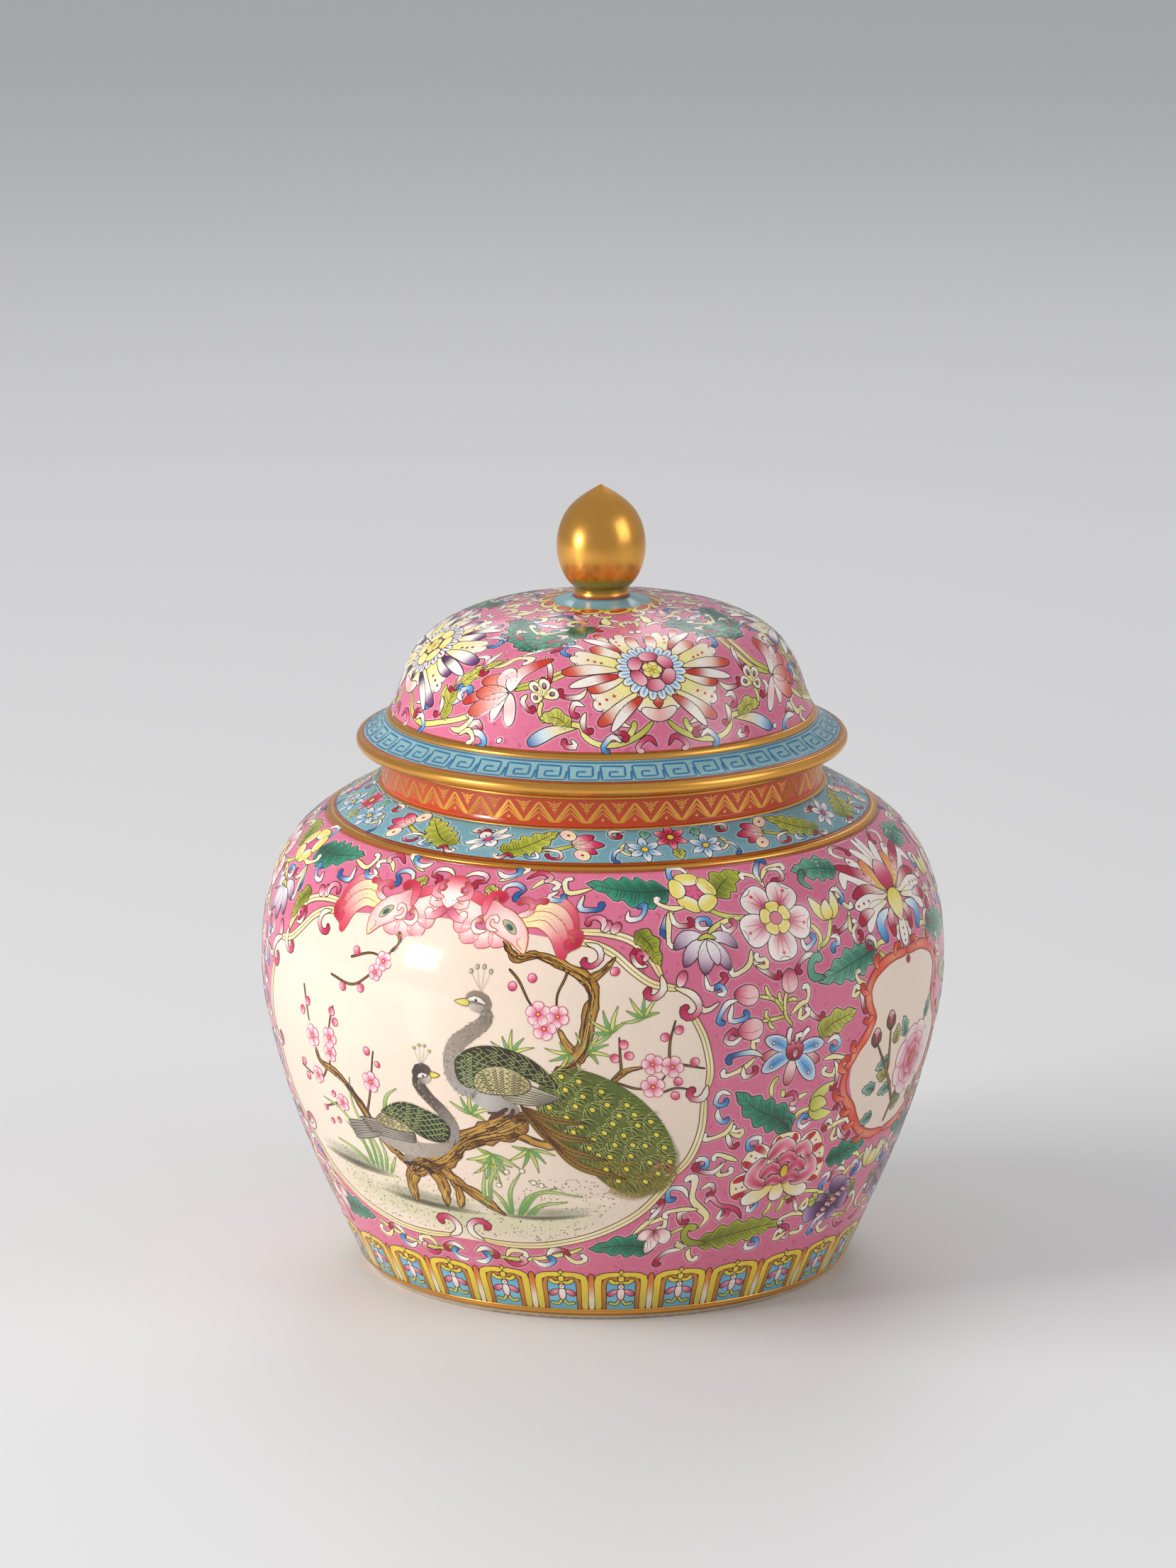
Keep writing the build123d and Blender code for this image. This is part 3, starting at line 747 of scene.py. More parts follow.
def lower_field():
    """The lower half of one field, from the orchid down to the lappets."""
    p = Painting(GLOW)
    stem(p, [(-6.4, 90), (-8.6, 87), (-8, 83)], [(-4, 85), (-3.6, 82)], [(1, 71), (4, 75.2), (9, 76)],
         [(-2, 68), (-3.4, 71)], [(-2, 36), (0, 38.4), (0, 41)], [(3.4, 36), (5, 39), (5, 42)],
         [(5, 41), (12, 42.4), (19, 41.4), (26, 38.4)], half=0.8)
    stem(p, [(-35.4, 32), (-31, 34.6), (-26.4, 34.2)])
    leaf(p, [(1.6, 69), (-3, 73.4), (-13, 79), (-21.6, 86.4)], 6.0, DEEP_GREEN, 9)
    p.dab([(-2.4, 73.4), (0.8, 72), (1.8, 68.6)], 1.0, ("1c6a50", "3a8a68"), TAPER, 2)
    leaf(p, [(20.8, 53), (30, 54.6), (41, 55.4)], 5.2, DEEP_GREEN, 7)
    leaf(p, [(-24, 27.4), (-12, 30), (0, 31.4), (8, 31)], 5.6, YELLOW_GREEN, 11)
    p.dab([(-21, 27.6), (-27, 28.4), (-29.6, 32), (-28.6, 35), (-25.6, 34)], 1.4, ("7a8418", OLIVE), CURL,
        2)
    leaf(p, [(-38.5, 26.6), (-48, 28.6), (-60, 27.4)], 5.0, DEEP_GREEN, 7)
    p.put(orchid, -1, 97.6)
    p.put(tulip, 8.4, 76.6, -90, 1.12, tones=(OLIVE, SPRING, LEMON))
    p.put(peony, 1, 54)
    p.put(seed_flower, 29.5, 34.6)
    for tip, half in (((-45, 31), 2.3), ((-41, 25), 2.2), ((-35, 28.6), 2.7)):
        p.dab([(-40, 34), (np.array(tip) + (-40, 34)) / 2 + (0.8, 0.8), tip], half,
            (CRIMSON, BLUSH, WHITE, BLUSH), (0.6, 0.7), 2)
    curls(p, ("ice", [(-23, 85.6), (-27, 87), (-28.4, 83), (-26, 82)]),
        ("ice", [(-27, 81), (-27, 78.4), (-25.4, 76)]), ("cream", [(-21, 76), (-23, 71.6), (-29, 69.6)]),
        ("red", [(-22.6, 71.6), (-21.4, 68.4), (-20.2, 66)]),
        ("cream", [(-22, 71.6), (-17.6, 69.6), (-17, 72), (-19.4, 71.4)]),
        ("ice", [(-9.4, 64.6), (-10, 68), (-14, 67.6), (-14, 65)]),
        ("ice", [(-31.4, 60), (-31, 62.4), (-28.2, 62), (-27.4, 60)]),
        ("cream", [(-16.6, 60), (-20, 61.6), (-24, 63.4)]),
        ("red", [(-21, 60.4), (-25, 56.6), (-31, 58.2)]),
        ("cream", [(-22.4, 60), (-23, 55.4), (-19.4, 55.2)]),
        ("ice", [(10, 71), (6.4, 69), (4.4, 71), (5.4, 73)]), ("rose", [(-3, 82), (0.4, 83.2), (2, 80.6)]),
        ("cream", [(6.6, 82), (3, 81), (0.6, 78.8)]), ("cream", [(16, 65), (20, 67), (26.6, 68)]),
        ("red", [(20, 67), (18.4, 69.6), (16.4, 68.4)]), ("red", [(21, 67), (22.6, 70), (22, 73.4)]),
        ("cream", [(22, 66.6), (21, 61.6), (23.6, 61.4)]), ("red", [(23, 66), (25, 62), (28.2, 60.4)]),
        ("ice", [(-31.4, 47), (-34, 51), (-38.6, 51.4), (-38.4, 47.6)]),
        ("red", [(-28, 50), (-24.6, 52), (-23, 49.4)]), ("cream", [(-27, 42), (-32, 42.6), (-37, 42)]),
        ("red", [(-29, 42), (-33, 41), (-32, 37.6)]),
        ("rose", [(-10, 36), (-12.4, 39.6), (-16, 41.6), (-20, 43), (-22.6, 46)]),
        ("blush", [(-18.4, 41), (-19, 37), (-16.4, 38)]), ("ice", [(-9, 42), (-8, 38.4), (-5.8, 40.2)]),
        ("cream", [(17, 32), (12, 33.8), (7, 33)]), ("red", [(13, 34), (11.6, 37), (10, 40)]),
        ("cream", [(13, 34.4), (16.6, 39), (17, 36.2)]), ("rose", [(6, 29.4), (10, 29), (11.6, 25.6)]),
        ("cream", [(11, 26.6), (6, 24), (6, 26.6)]), ("cream", [(11, 25.4), (16.4, 25)]),
        ("ice", [(-5.6, 26), (-5, 22.6), (-1, 23), (-1, 25)]),
        ("cream", [(-26, 26), (-26.4, 24), (-25, 21.2)]), ("red", [(-28, 26), (-34, 25), (-36.6, 21.6)]),
        ("cream", [(-28, 26.4), (-32, 29), (-30, 27)]),
        ("ice", [(20.4, 46), (24, 47.6), (24, 44.6), (22, 44)]),
        ("ice", [(36, 46), (38, 48.6), (40.4, 47.4)]), ("cream", [(-47, 33), (-44, 37), (-41, 41)]),
        ("red", [(-43, 39), (-41, 42), (-39.6, 45)]), ("cream", [(-43, 37), (-38, 39.6), (-37, 36.6)]))
    curls(p, ("cream", [(-25, 34), (-23, 38.4), (-27, 43), (-30, 47), (-30.4, 54)]), half=1.3, level=0.6)
    return p


FIELD_TURN = 62
upper, lower = upper_field(), lower_field()
for k, (turn, mirrored) in enumerate(((FIELD_TURN, False), (-FIELD_TURN, True), (180 + FIELD_TURN, False),
                                      (180 - FIELD_TURN, True)), 1):
    upper.lay(f"upper_flowers_{k}", body_wall, turn, "jar", "pink_enamel", mirrored)
    lower.lay(f"lower_flowers_{k}", body_wall, turn, "jar", "pink_enamel", mirrored)

# --- Large panels ----------------------------------------------------------------------------
# Front and back the porcelain is left white, in a cream scrolled frame that hangs from a pair of
# phoenixes. Inside it a peacock and a peahen stand on an old plum tree above grass and stones.

IVORY = "f5dfca"
BARK, BARK_LINE = ("966c22", "cfa044", "b4862e", "d9ac56", "8c621c"), "38200a"
reserve_white = glaze("white_reserve", IVORY, pale=1.02, deep=0.965, cloud=30, rough=(0.07, 0.16),
    bump=0.04, stipple=0.015)


RESERVE_LIFT, RESERVE_COLUMNS, RESERVE_STEP = 0.14, 60, 1.5


def reserve(name, wall, turn, outline, body):
    """A white patch, alike on both sides of its middle, from its heights and half widths in mm."""
    rows = flowing(outline, RESERVE_STEP)
    across = np.linspace(-1, 1, RESERVE_COLUMNS + 1)
    x = rows[:, 1:] * across
    turns = math.radians(turn) + x / wall.radius(rows[:, :1])
    places = wall.points(turns, rows[:, :1], RESERVE_LIFT).reshape(-1, 3)
    corner = np.arange(len(places)).reshape(x.shape)
    quads = np.stack([corner[:-1, :-1], corner[:-1, 1:], corner[1:, 1:], corner[1:, :-1]],
        axis=-1).reshape(-1, 4)
    mesh = bpy.data.meshes.new(name)
    mesh.from_pydata(places.tolist(), [], quads.tolist())
    mesh.shade_smooth()
    mesh.materials.append(reserve_white)
    piece = bpy.data.objects.new(name, mesh)
    bpy.context.scene.collection.objects.link(piece)
    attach(piece, body)


def band(p, path):
    """A cream frame strip with a brown line down its middle."""
    p.dab(path, 1.15, ("f1dd9c", "faf0c6", "f1dd9c"), VINE, 1.0, line="7a4a1e")
    p.hair(path, 0.13, "9a6a30", 2.0)


def frame_half(p):
    """The right half of the panel's frame, from the bottom round to the phoenix."""
    scroll = (CREAM, WHITE, ROSE, CRIMSON)
    band(p, [(5, 28.8), (12, 27.6), (22, 27.6), (32, 29.2), (46, 33.6), (60, 41.2), (70, 50.4), (76, 57.4)])
    band(p, [(75.6, 57), (82, 63.8), (87, 74), (89.4, 86)])
    band(p, [(86.4, 114.8), (90.6, 106), (92.2, 96), (90.8, 89)])
    band(p, [(45, 142.6), (55, 142), (64, 139.4), (71, 133.8), (75.6, 127)])
    band(p, [(45, 139.4), (52, 138.4), (59, 135.2), (66, 129.6), (72, 125.6), (77, 124.2), (82, 123.2)])
    for path, half in (([(6.4, 28.2), (2.6, 30.6), (2.6, 34.2), (6, 36.4), (9.2, 34.8), (7.8, 32.8)],
            1.25), ([(76, 57.6), (71.4, 56.4), (68.8, 58.8), (71, 61.2), (74.4, 60.2), (73, 58.8)], 1.1),
            ([(90.8, 90), (89, 85.8), (85.6, 85), (84.2, 87.4), (86.4, 89.4)], 1.2),
            ([(80, 123.8), (86, 121.2), (88.8, 117), (86.8, 113.8), (83.8, 114.2), (83.4, 116.8),
            (85.2, 117)], 1.2), ([(75.2, 128), (76.4, 123.4), (73.6, 120.6), (70.8, 121.8), (72, 124.2)],
            1.2), ([(49, 138.8), (53.6, 137.2), (54.8, 133.6), (52, 131.2), (49.2, 132.4), (50.2, 134)],
            1.0)):
        p.dab(path, half, scroll, CURL, 2.4)
    p.dab([(53.4, 142.6), (53.6, 145.8), (50.4, 147.6), (48, 146.2), (49.2, 144.6)], 1.0,
        (WHITE, PINK, CRIMSON), CURL, 2)
    p.dab([(87.8, 117.6), (91, 115.4), (95.4, 117.8)], 1.1, (CREAM, WHITE), TAPER, 2)
    for root, tip in (((54.4, 142.4), (54.8, 146.4)), ((57.2, 141.8), (58.4, 145.6)),
            ((81.6, 123.8), (82.8, 129))):
        p.dab([root, tip], 1.7, (WHITE, PINK, CRIMSON), EGG, 1.6)
    leaf(p, [(64.4, 142.4), (69.4, 138.6), (74.8, 131)], 3.4, YELLOW_GREEN, 5)
    curls(p, ("red", [(70.4, 131), (67, 131.6), (65, 134.4)]),
        ("rose", [(69, 131.4), (66.4, 135), (68.4, 135.4)]),
        ("blue", [(17, 154), (17.4, 157.6), (21, 158.6), (24, 156.4), (22.2, 154.8)]),
        ("red", [(1.8, 159.6), (5, 161.8), (9.4, 161), (9.6, 158.6), (7.4, 158.4)]),
        ("cream", [(46, 158), (39, 156), (36, 160)]), ("blue", [(44, 155.4), (44.4, 150.4), (50, 150)]),
        ("ice", [(60.4, 149.6), (61, 146.6), (65, 147), (65.6, 150)]),
        ("ice", [(35.4, 156.6), (32.6, 154), (36.4, 153)]))
    leaf(p, [(11, 157), (13.4, 155.4), (16.6, 152.8)], 2.2, ("a89a2c", "c8bc52", "dcd47c"), 3)


FEATHER_LINE = "b8583c"


def phoenix(p):
    """The right-hand phoenix: a striped wing fan, a pale head with a crimson crest, and half the ruff."""
    def feather(*stroke, **edge):
        p.dab(*stroke, **edge, line=FEATHER_LINE)

    flame = (LEMON, CREAM, "f6bfae", "e8627a", "d42a50")
    feather([(28, 150), (35, 152.6), (41.6, 148), (45.4, 140.4)], 2.5,
        (BLUSH, "f2a3a4", "e4566e", CRIMSON), (0.35, 0.4), 1.4)
    feather([(27, 148), (34.8, 149.8), (41.2, 144.6), (44, 135.6)], 2.6, flame, (0.35, 0.4), 1.8)
    feather([(26.4, 145), (33.4, 146.2), (39.6, 141.6), (42.6, 133.2)], 3.0, flame, (0.35, 0.45), 2.2)
    p.hair([(28, 145), (34, 146), (39.4, 141.8)], 0.12, FEATHER_LINE, 3.4)
    feather([(42.6, 142.4), (46.4, 141.6), (46.4, 138.2), (43.6, 137.6), (43.6, 140)], 1.5,
        ("e4566e", CRIMSON, "d9405c"), CURL, 3.4)
    feather([(24, 146.8), (28.6, 148.4), (28.4, 151.8), (25, 152.8), (24, 150.8)], 1.2,
        (WHITE, PINK, CRIMSON), CURL, 3)
    feather([(28.6, 149), (29.4, 152.2), (33.6, 152.6)], 1.1, (PINK, CRIMSON), CURL, 3)
    for x, y, half in ((20, 139.8, 3.2), (15, 139.2, 3.4), (10, 140.4, 3.6), (6.8, 143.6, 3.2)):
        p.dab([(x - 1, y + 4), (x + 0.6, y - 3.6)], half, (WHITE, "fbe6dc", "ee8f98"), (0.5, 0.35), 1.6,
            edge="f6b3b0", line="c8505e")
    p.dab([(1.6, 147), (8, 148), (15, 145.6)], 5.0, (BLUSH, "fbe9dc", BLUSH), (0.4, 0.4), 2.2,
        edge="f3a6a6", line=None)
    feather([(3.6, 153.6), (9, 152.6), (14.6, 149.4)], 1.7, ("ee8a94", "e4566e", "d42a50"), (0.5, 0.5), 2.6)
    feather([(13.8, 146.6), (13.2, 141.6)], 2.4, ("cd6590", "d77a9e"), EGG, 3)
    feather([(15.6, 141.4), (12, 140.8), (10.4, 143.2), (12.2, 145), (13.4, 143.4)], 0.85,
        (WHITE, WHITE, CRIMSON), CURL, 3.8)
    feather([(0.2, 149), (2.6, 145.6), (6, 144.2), (6.4, 147)], 1.5, (CRIMSON, PINK, WHITE), CURL, 3)
    feather([(1, 150.4), (3.6, 148.4), (6.4, 149), (5.4, 151)], 1.2, (PINK, BLUSH, WHITE), CURL, 3.2)
    feather([(2.4, 151), (6.4, 152), (6.2, 155.2), (3.6, 155.2), (4.2, 153.4)], 1.15,
        (BLUSH, PINK, CRIMSON), CURL, 4.2)
    feather([(14.4, 151.6), (17.2, 146.8), (22, 144), (26.6, 140.4), (29.6, 134.6)], 4.4,
        ("ea7088", BLUSH, "fbeee2", BLUSH, CREAM), (0.55, 0.8), 4, edge="f6bdb4")
    feather([(13.6, 146.4), (13.2, 151), (15, 154.4), (18.4, 153.4), (17, 151.8)], 1.5,
        (PINK, "dd3350", CRIMSON), CURL, 5)
    feather([(19.4, 141.6), (16, 142.4), (15.6, 145.4), (18, 146.2), (18.4, 144.2)], 0.8,
        (WHITE, BLUSH, WHITE), CURL, 5.2)
    feather([(20.6, 145.2), (23, 143.6), (25.6, 141)], 1.25, ("b9c9a4", "8aa684", "b9c9a4"), (0.6, 0.6),
        5.4)
    p.dab([(22, 144), (24.4, 142.2)], 0.75, ("4f7560", "2f4f44"), EGG, 6.4, line=None)
    p.hair([(27.8, 139.6), (26, 138.8), (29, 135.6)], 0.12, FEATHER_LINE, 5.4)


def crown(p):
    """What stands between the two phoenixes: the crimson top of the ruff."""
    p.dab([(0, 147.6), (0, 154), (0, 159.8)], 4.8, (WHITE, WHITE, "fbe0d8", "ee8a94", "d42a50"),
        (0.7, 0.42), 3.4, line=FEATHER_LINE)
    for side in (-1, 1):
        p.dab([(side * 3, 157.6), (side * 5.2, 156), (side * 4, 153.8)], 0.9, (CRIMSON, PINK), CURL, 4.6,
            line=FEATHER_LINE)


def bough(p, path, half, shape=(0.9, 1.1, 0.85, 1.12, 0.9, 1.05, 0.8), level=2.0, seed=1):
    """An old knotted branch, drawn with bark strokes."""
    draw = np.random.default_rng(seed)
    lumps = 4 * len(path)
    even = np.interp(np.linspace(0, 1, lumps), np.linspace(0, 1, len(shape)), shape)
    shape = even * (1 + draw.uniform(-0.3, 0.3, lumps))
    middle, side, wide = p.dab(path, half, BARK, shape, level, edge="94601e", line=BARK_LINE)
    reach = max(2, len(middle) // 7)
    for i in range(1, len(middle) - reach - 1, 2):
        for _ in range(1 + int(half)):
            v = draw.uniform(-0.8, 0.8)
            places = (i, i + reach // 2, i + reach)
            ends = [middle[j] + side[j] * wide[j] * (v + draw.uniform(-0.12, 0.12)) for j in places]
            p.hair(ends, draw.uniform(0.1, 0.24), "4e2a0e" if draw.random() < 0.72 else "dba650", level + 1)


def twig(p, *paths, half=0.27):
    """Thin bare twigs."""
    for path in paths:
        p.dab(path, half, ("8a5a22", "a87832", "7a4c1a"), TAPER, 2, line=BARK_LINE)


def plum(p):
    """A five-petalled plum blossom with a crimson eye and yellow stamens."""
    for k in range(5):
        out = toward(90 + 72 * k)
        p.dab([out * 0.5, out * 2.3, out * 3.9], 1.7, ("e2476c", "f59fb4", "fbd3d8", WHITE), (0.5, 0.36),
            4 + 0.3 * (k % 2), line="d9637e")
    p.dot(0, 0, 0.85, "c81f4c", 5.6)
    p.dot(0, 0, 0.45, YELLOW, 6.4)


def plum_bud(p):
    """A round crimson bud."""
    p.dab([(-1.4, 0), (1.5, 0)], 1.35, ("c81f4c", "ee7f98", "fbd9dc"), EGG, 4, line="b8305a")


def bamboo(p):
    """A spray of narrow leaves."""
    for turn, reach, tones in ((88, 8.6, (OLIVE, LEMON)), (52, 7.4, ("4f9a54", "9cc88a")),
            (118, 6.8, ("4f9a54", "9cc88a")), (152, 8.2, ("4f9a54", LEMON)), (18, 8.4, (SPRING, LEMON)),
            (-24, 5.2, ("3f8a4c", SPRING))):
        out = toward(turn)
        bow = np.array([-out[1], out[0]]) * 0.5
        p.dab([(0, 0), out * reach * 0.6 + bow, out * reach * 1.2], 0.62, tones, (0.6, 1.3), 2.4,
            line="7d8f4c")


def grass(p, blades):
    """Long blades, each given by its path from the ground."""
    for path in blades:
        p.dab(path, 0.58, ("4f9450", "8cba62", "cfd884", "efe9b0"), (0.5, 1.2), 2.6, line="83985a")


PLUME_PEN, PLUME_LINE = 0.13, "3a3222"


def plumes(p, path, half, tones, shape, mark, pitch, level):
    """A part of a bird: its colour, and rows of overlapping feather ends that face along the path."""
    middle, side, wide = p.dab(path, half, tones, shape, level, line=PLUME_LINE)
    run = np.concatenate([[0], np.cumsum(np.hypot(*np.diff(middle, axis=0).T))])
    for k, at in enumerate(np.arange(pitch * 0.4, run[-1] - pitch * 0.6, pitch * 0.62)):
        i = int(np.searchsorted(run, at))
        ahead = np.array([side[i][1], -side[i][0]])
        room = wide[i] - pitch * 0.3
        for v in np.arange(-room + (k % 2) * pitch / 2, room + 0.01, pitch):
            q = middle[i] + side[i] * v
            ends = [q + side[i] * hand * 0.5 * pitch - ahead * 0.35 * pitch for hand in (1, -1)]
            p.hair([ends[0], q + side[i] * 0.3 * pitch + ahead * 0.4 * pitch, q + ahead * 0.62 * pitch,
                q - side[i] * 0.3 * pitch + ahead * 0.4 * pitch, ends[1]], PLUME_PEN, mark, level + 1,
                (0.15, 0.15))


def downy(p, path, half, tones, shape, level, hairs, seed):
    """Soft plumage, with short hairs along it."""
    middle, side, wide = p.dab(path, half, tones, shape, level, line=None)
    draw = np.random.default_rng(seed)
    for _ in range(hairs):
        i = int(draw.integers(1, len(middle) - 2))
        v = draw.uniform(-1.04, 1.04)
        q = middle[i] + side[i] * wide[i] * v
        ahead = np.array([side[i][1], -side[i][0]])
        p.hair([q, q + ahead * 0.6 + side[i] * v * 0.3, q + ahead * 1.1 + side[i] * v * 0.5], 0.07,
               "85786c" if draw.random() < 0.6 else "c0b5aa", level + 1)


TAIL_EYES = ((44, 90), (49.4, 87.6), (57, 84.6), (63.4, 84.4), (52, 82.8), (60.4, 80.6), (70.4, 78),
    (47.6, 76.6), (54.8, 74.2), (61, 73.2), (66, 76.8), (71.6, 73), (44.8, 74.4), (49.2, 68.4), (55.4, 65),
    (62.2, 65.2), (67.4, 69), (53.4, 60.2), (60, 60.2), (68, 62.4), (74.6, 62.4), (65.4, 55), (38.6, 79.8),
    (43.2, 79.8), (51, 71.6), (57.6, 69.6), (73.6, 68), (46.6, 84), (41, 86.4), (55.6, 89.4), (48.6, 93),
    (43, 94.6), (38, 83.4), (58, 77.6), (65.4, 80.8), (56.6, 55.6), (70, 58), (51.8, 65.6), (63.4, 69.4))


def away_from_rump(x, y):
    """The way that the train's barbs lie at a place, in radians."""
    return math.atan2(y - 104, x - 26)


def tail(p):
    """The peacock's train: an olive fan of barbs with yellow eyes, and ochre plumes under it."""
    fan, side, wide = p.dab([(35, 90), (48, 83), (60, 70), (65.4, 51)], 16.2,
        ("5c6828", "5a6628", "68722e", "84762f"), (0.42, 0.36), 2, line=None)
    draw = np.random.default_rng(9)
    for _ in range(900):
        i = int(draw.integers(2, len(fan) - 2))
        q = fan[i] + side[i] * wide[i] * draw.uniform(-0.96, 0.94)
        a = away_from_rump(*q) + draw.uniform(-0.45, 0.45)
        tone = ("9aa04a", "b0a858", "2f3c12", "6f7c2c")[int(draw.integers(4))]
        p.hair([q, q + 2.6 * np.array([math.cos(a), math.sin(a)])], 0.12, tone, 2.7, (0.4, 0.9))
    for k, (x, y) in enumerate(sorted(TAIL_EYES, key=lambda spot: -spot[1])):
        a = away_from_rump(x, y) + 0.14 * math.sin(k * 2.3)
        out = np.array([math.cos(a), math.sin(a)])
        across = np.array([-out[1], out[0]])
        ochre = y < 62
        for j in range(-6, 7):
            root = np.array([x, y]) - out * (3.6 - abs(j) * 0.15)
            tip = np.array([x, y]) + out * (2.6 - 0.16 * abs(j)) + across * j * 0.86
            tone = (("b89a40", "5a4a18") if ochre else ("b4b862", "26380f"))[j % 2]
            p.hair([root, root * 0.45 + tip * 0.55 + across * j * 0.22, tip], 0.16, tone, 3.2 + 0.02 * k,
                (0.4, 0.9))
        p.dab([np.array([x, y]) - out * 0.9, np.array([x, y]) + out * 1.1], 0.85, ("e9dc50", YELLOW), EGG,
            5, line="55591c")
    fringe = flowing([(52, 95), (60, 91.6), (68, 84), (74, 74.6), (77, 65), (75, 57.4), (68, 51),
        (60, 48.6), (53, 51.4)], 0.62)
    for i in range(1, len(fringe) - 1):
        ahead = fringe[i + 1] - fringe[i - 1]
        ahead /= np.hypot(*ahead)
        out = np.array([-ahead[1], ahead[0]])
        p.hair([fringe[i] - out * 2.4, fringe[i] - out * 0.2 + ahead * 0.4, fringe[i] + out * 1.5
            + ahead * 1.6], 0.14, ("a08a34" if fringe[i][1] < 62 else "6f8034"), 3.4, (0.4, 0.9))
    for path, half in (([(29, 83), (38, 79), (49.6, 77.4)], 1.6), ([(29.6, 81.6), (40, 73), (51.6, 70.8)],
            2.0), ([(32, 78.6), (41.6, 67.6), (54.6, 63.6)], 2.1), ([(36, 72.4), (44.6, 61.6), (59.6, 56)],
            2.0), ([(28.4, 84), (34, 74), (40, 67)], 1.5)):
        middle, side, wide = p.dab(path, half * 0.86, ("8a5c20", "b0842f", "a88a38", "7c742c"), (0.6, 0.7),
            5.2, edge="6f4f1c", line=None)
        p.hair(middle[1:-1:3], 0.17, "4a2810", 6.4)
        for i in range(1, len(middle) - 2):
            for hand in (-1, 1):
                p.hair([middle[i], middle[min(i + 2, len(middle) - 1)] + side[i] * hand * wide[i] * 1.05],
                    0.09, "5f3512", 6.2)


def peacock(p):
    """The peacock, facing left, with its train behind it."""
    tail(p)
    p.dab([(8, 92), (16, 85), (28, 81.4)], 3.4, ("b0a69e", "c3bcb6", "9a8c7e"), (0.5, 0.5), 5.4, line=None)
    downy(p, [(18.6, 116.4), (18.2, 112), (13, 107.6), (8, 103.4), (6.2, 98), (7.6, 91), (13, 86)], 3.4,
        ("8f7c6e", "9c8a7c", "a39284", "ab9d92", "bdb6b0"), (0.66, 0.7, 0.76, 0.86, 1.0, 1.1, 0.8), 6, 420,
        5)
    plumes(p, [(10, 99.6), (20, 100.4), (31, 97.6), (41.4, 90.4)], 3.4, ("3a3018", "2e2212", "3a2c16"),
        (0.42, 0.5), "97a566", 2.3, 6.4)
    plumes(p, [(7.2, 94), (12, 94.4), (18.6, 93.4)], 6.0, ("37381a", "343218", "443e22"), (0.36, 0.45),
        "a2b478", 2.1, 7)
    for k in range(7):
        p.dab([(20 + k * 0.6, 90.6 - k * 0.9), (30, 90.4 - k * 0.95), (43.4 - k * 1.2, 86.4 - k * 0.4)],
            0.95, ("a39b84", "c3b99c", "8e8672"), (0.4, 0.7), 7 - 0.3 * k, line="3f3a34")
    plumes(p, [(13.6, 89.4), (21.6, 92), (32.6, 90.6)], 5.0, ("c4b47c", "d2c391", "c0b07a"), (0.45, 0.5),
        "5a5030", 1.8, 8)
    p.dab([(18.8, 114.2), (18.6, 118.2), (14.4, 119.6), (11.6, 118)], 2.3, ("94826f", "8a7866", "a39284"),
        (0.8, 0.4), 7, line=None)
    p.dab([(12.4, 116.8), (16, 116.4), (18.8, 114)], 2.0, ("cfc3b6", "b3a498", "94826f"), (0.45, 0.7), 6.9,
        line=None)
    p.dab([(11.8, 118.4), (15, 119.2), (18.6, 117.4)], 0.85, ("e6ddd4", "f4ece2", "d9cfc6"), (0.5, 0.6), 8,
        line="6a5a50")
    p.dot(15, 118.7, 0.52, "3a2a22", 9)
    p.dot(15.2, 118.9, 0.17, WHITE, 9.8)
    p.dab([(12.6, 117.6), (7.4, 117.7)], 1.15, ("d9c64a", "efe08a"), (0.3, 0.9), 8.2, line="7a6a2a")
    for x, y in ((12.6, 127.6), (14.6, 129.2), (17, 129.4), (19.4, 128)):
        p.hair([(16.6, 121.4), (0.4 * 16.6 + 0.6 * x, 125), (x, y)], 0.07, "a89c90", 7)
        p.dab([(x - 0.2, y - 0.4), (x, y + 1.0)], 0.42, ("e4dcc0", "b9b08c"), EGG, 7, line="9a8c7c")
    for path in ([(24, 82), (20.6, 80), (17, 79.8)], [(22.6, 80.6), (19.6, 78.6), (17.4, 77.6)],
            [(26, 82), (25, 79.6), (22, 78.6)]):
        p.dab(path, 0.5, ("5a4030", "6e5240"), TAPER, 7)


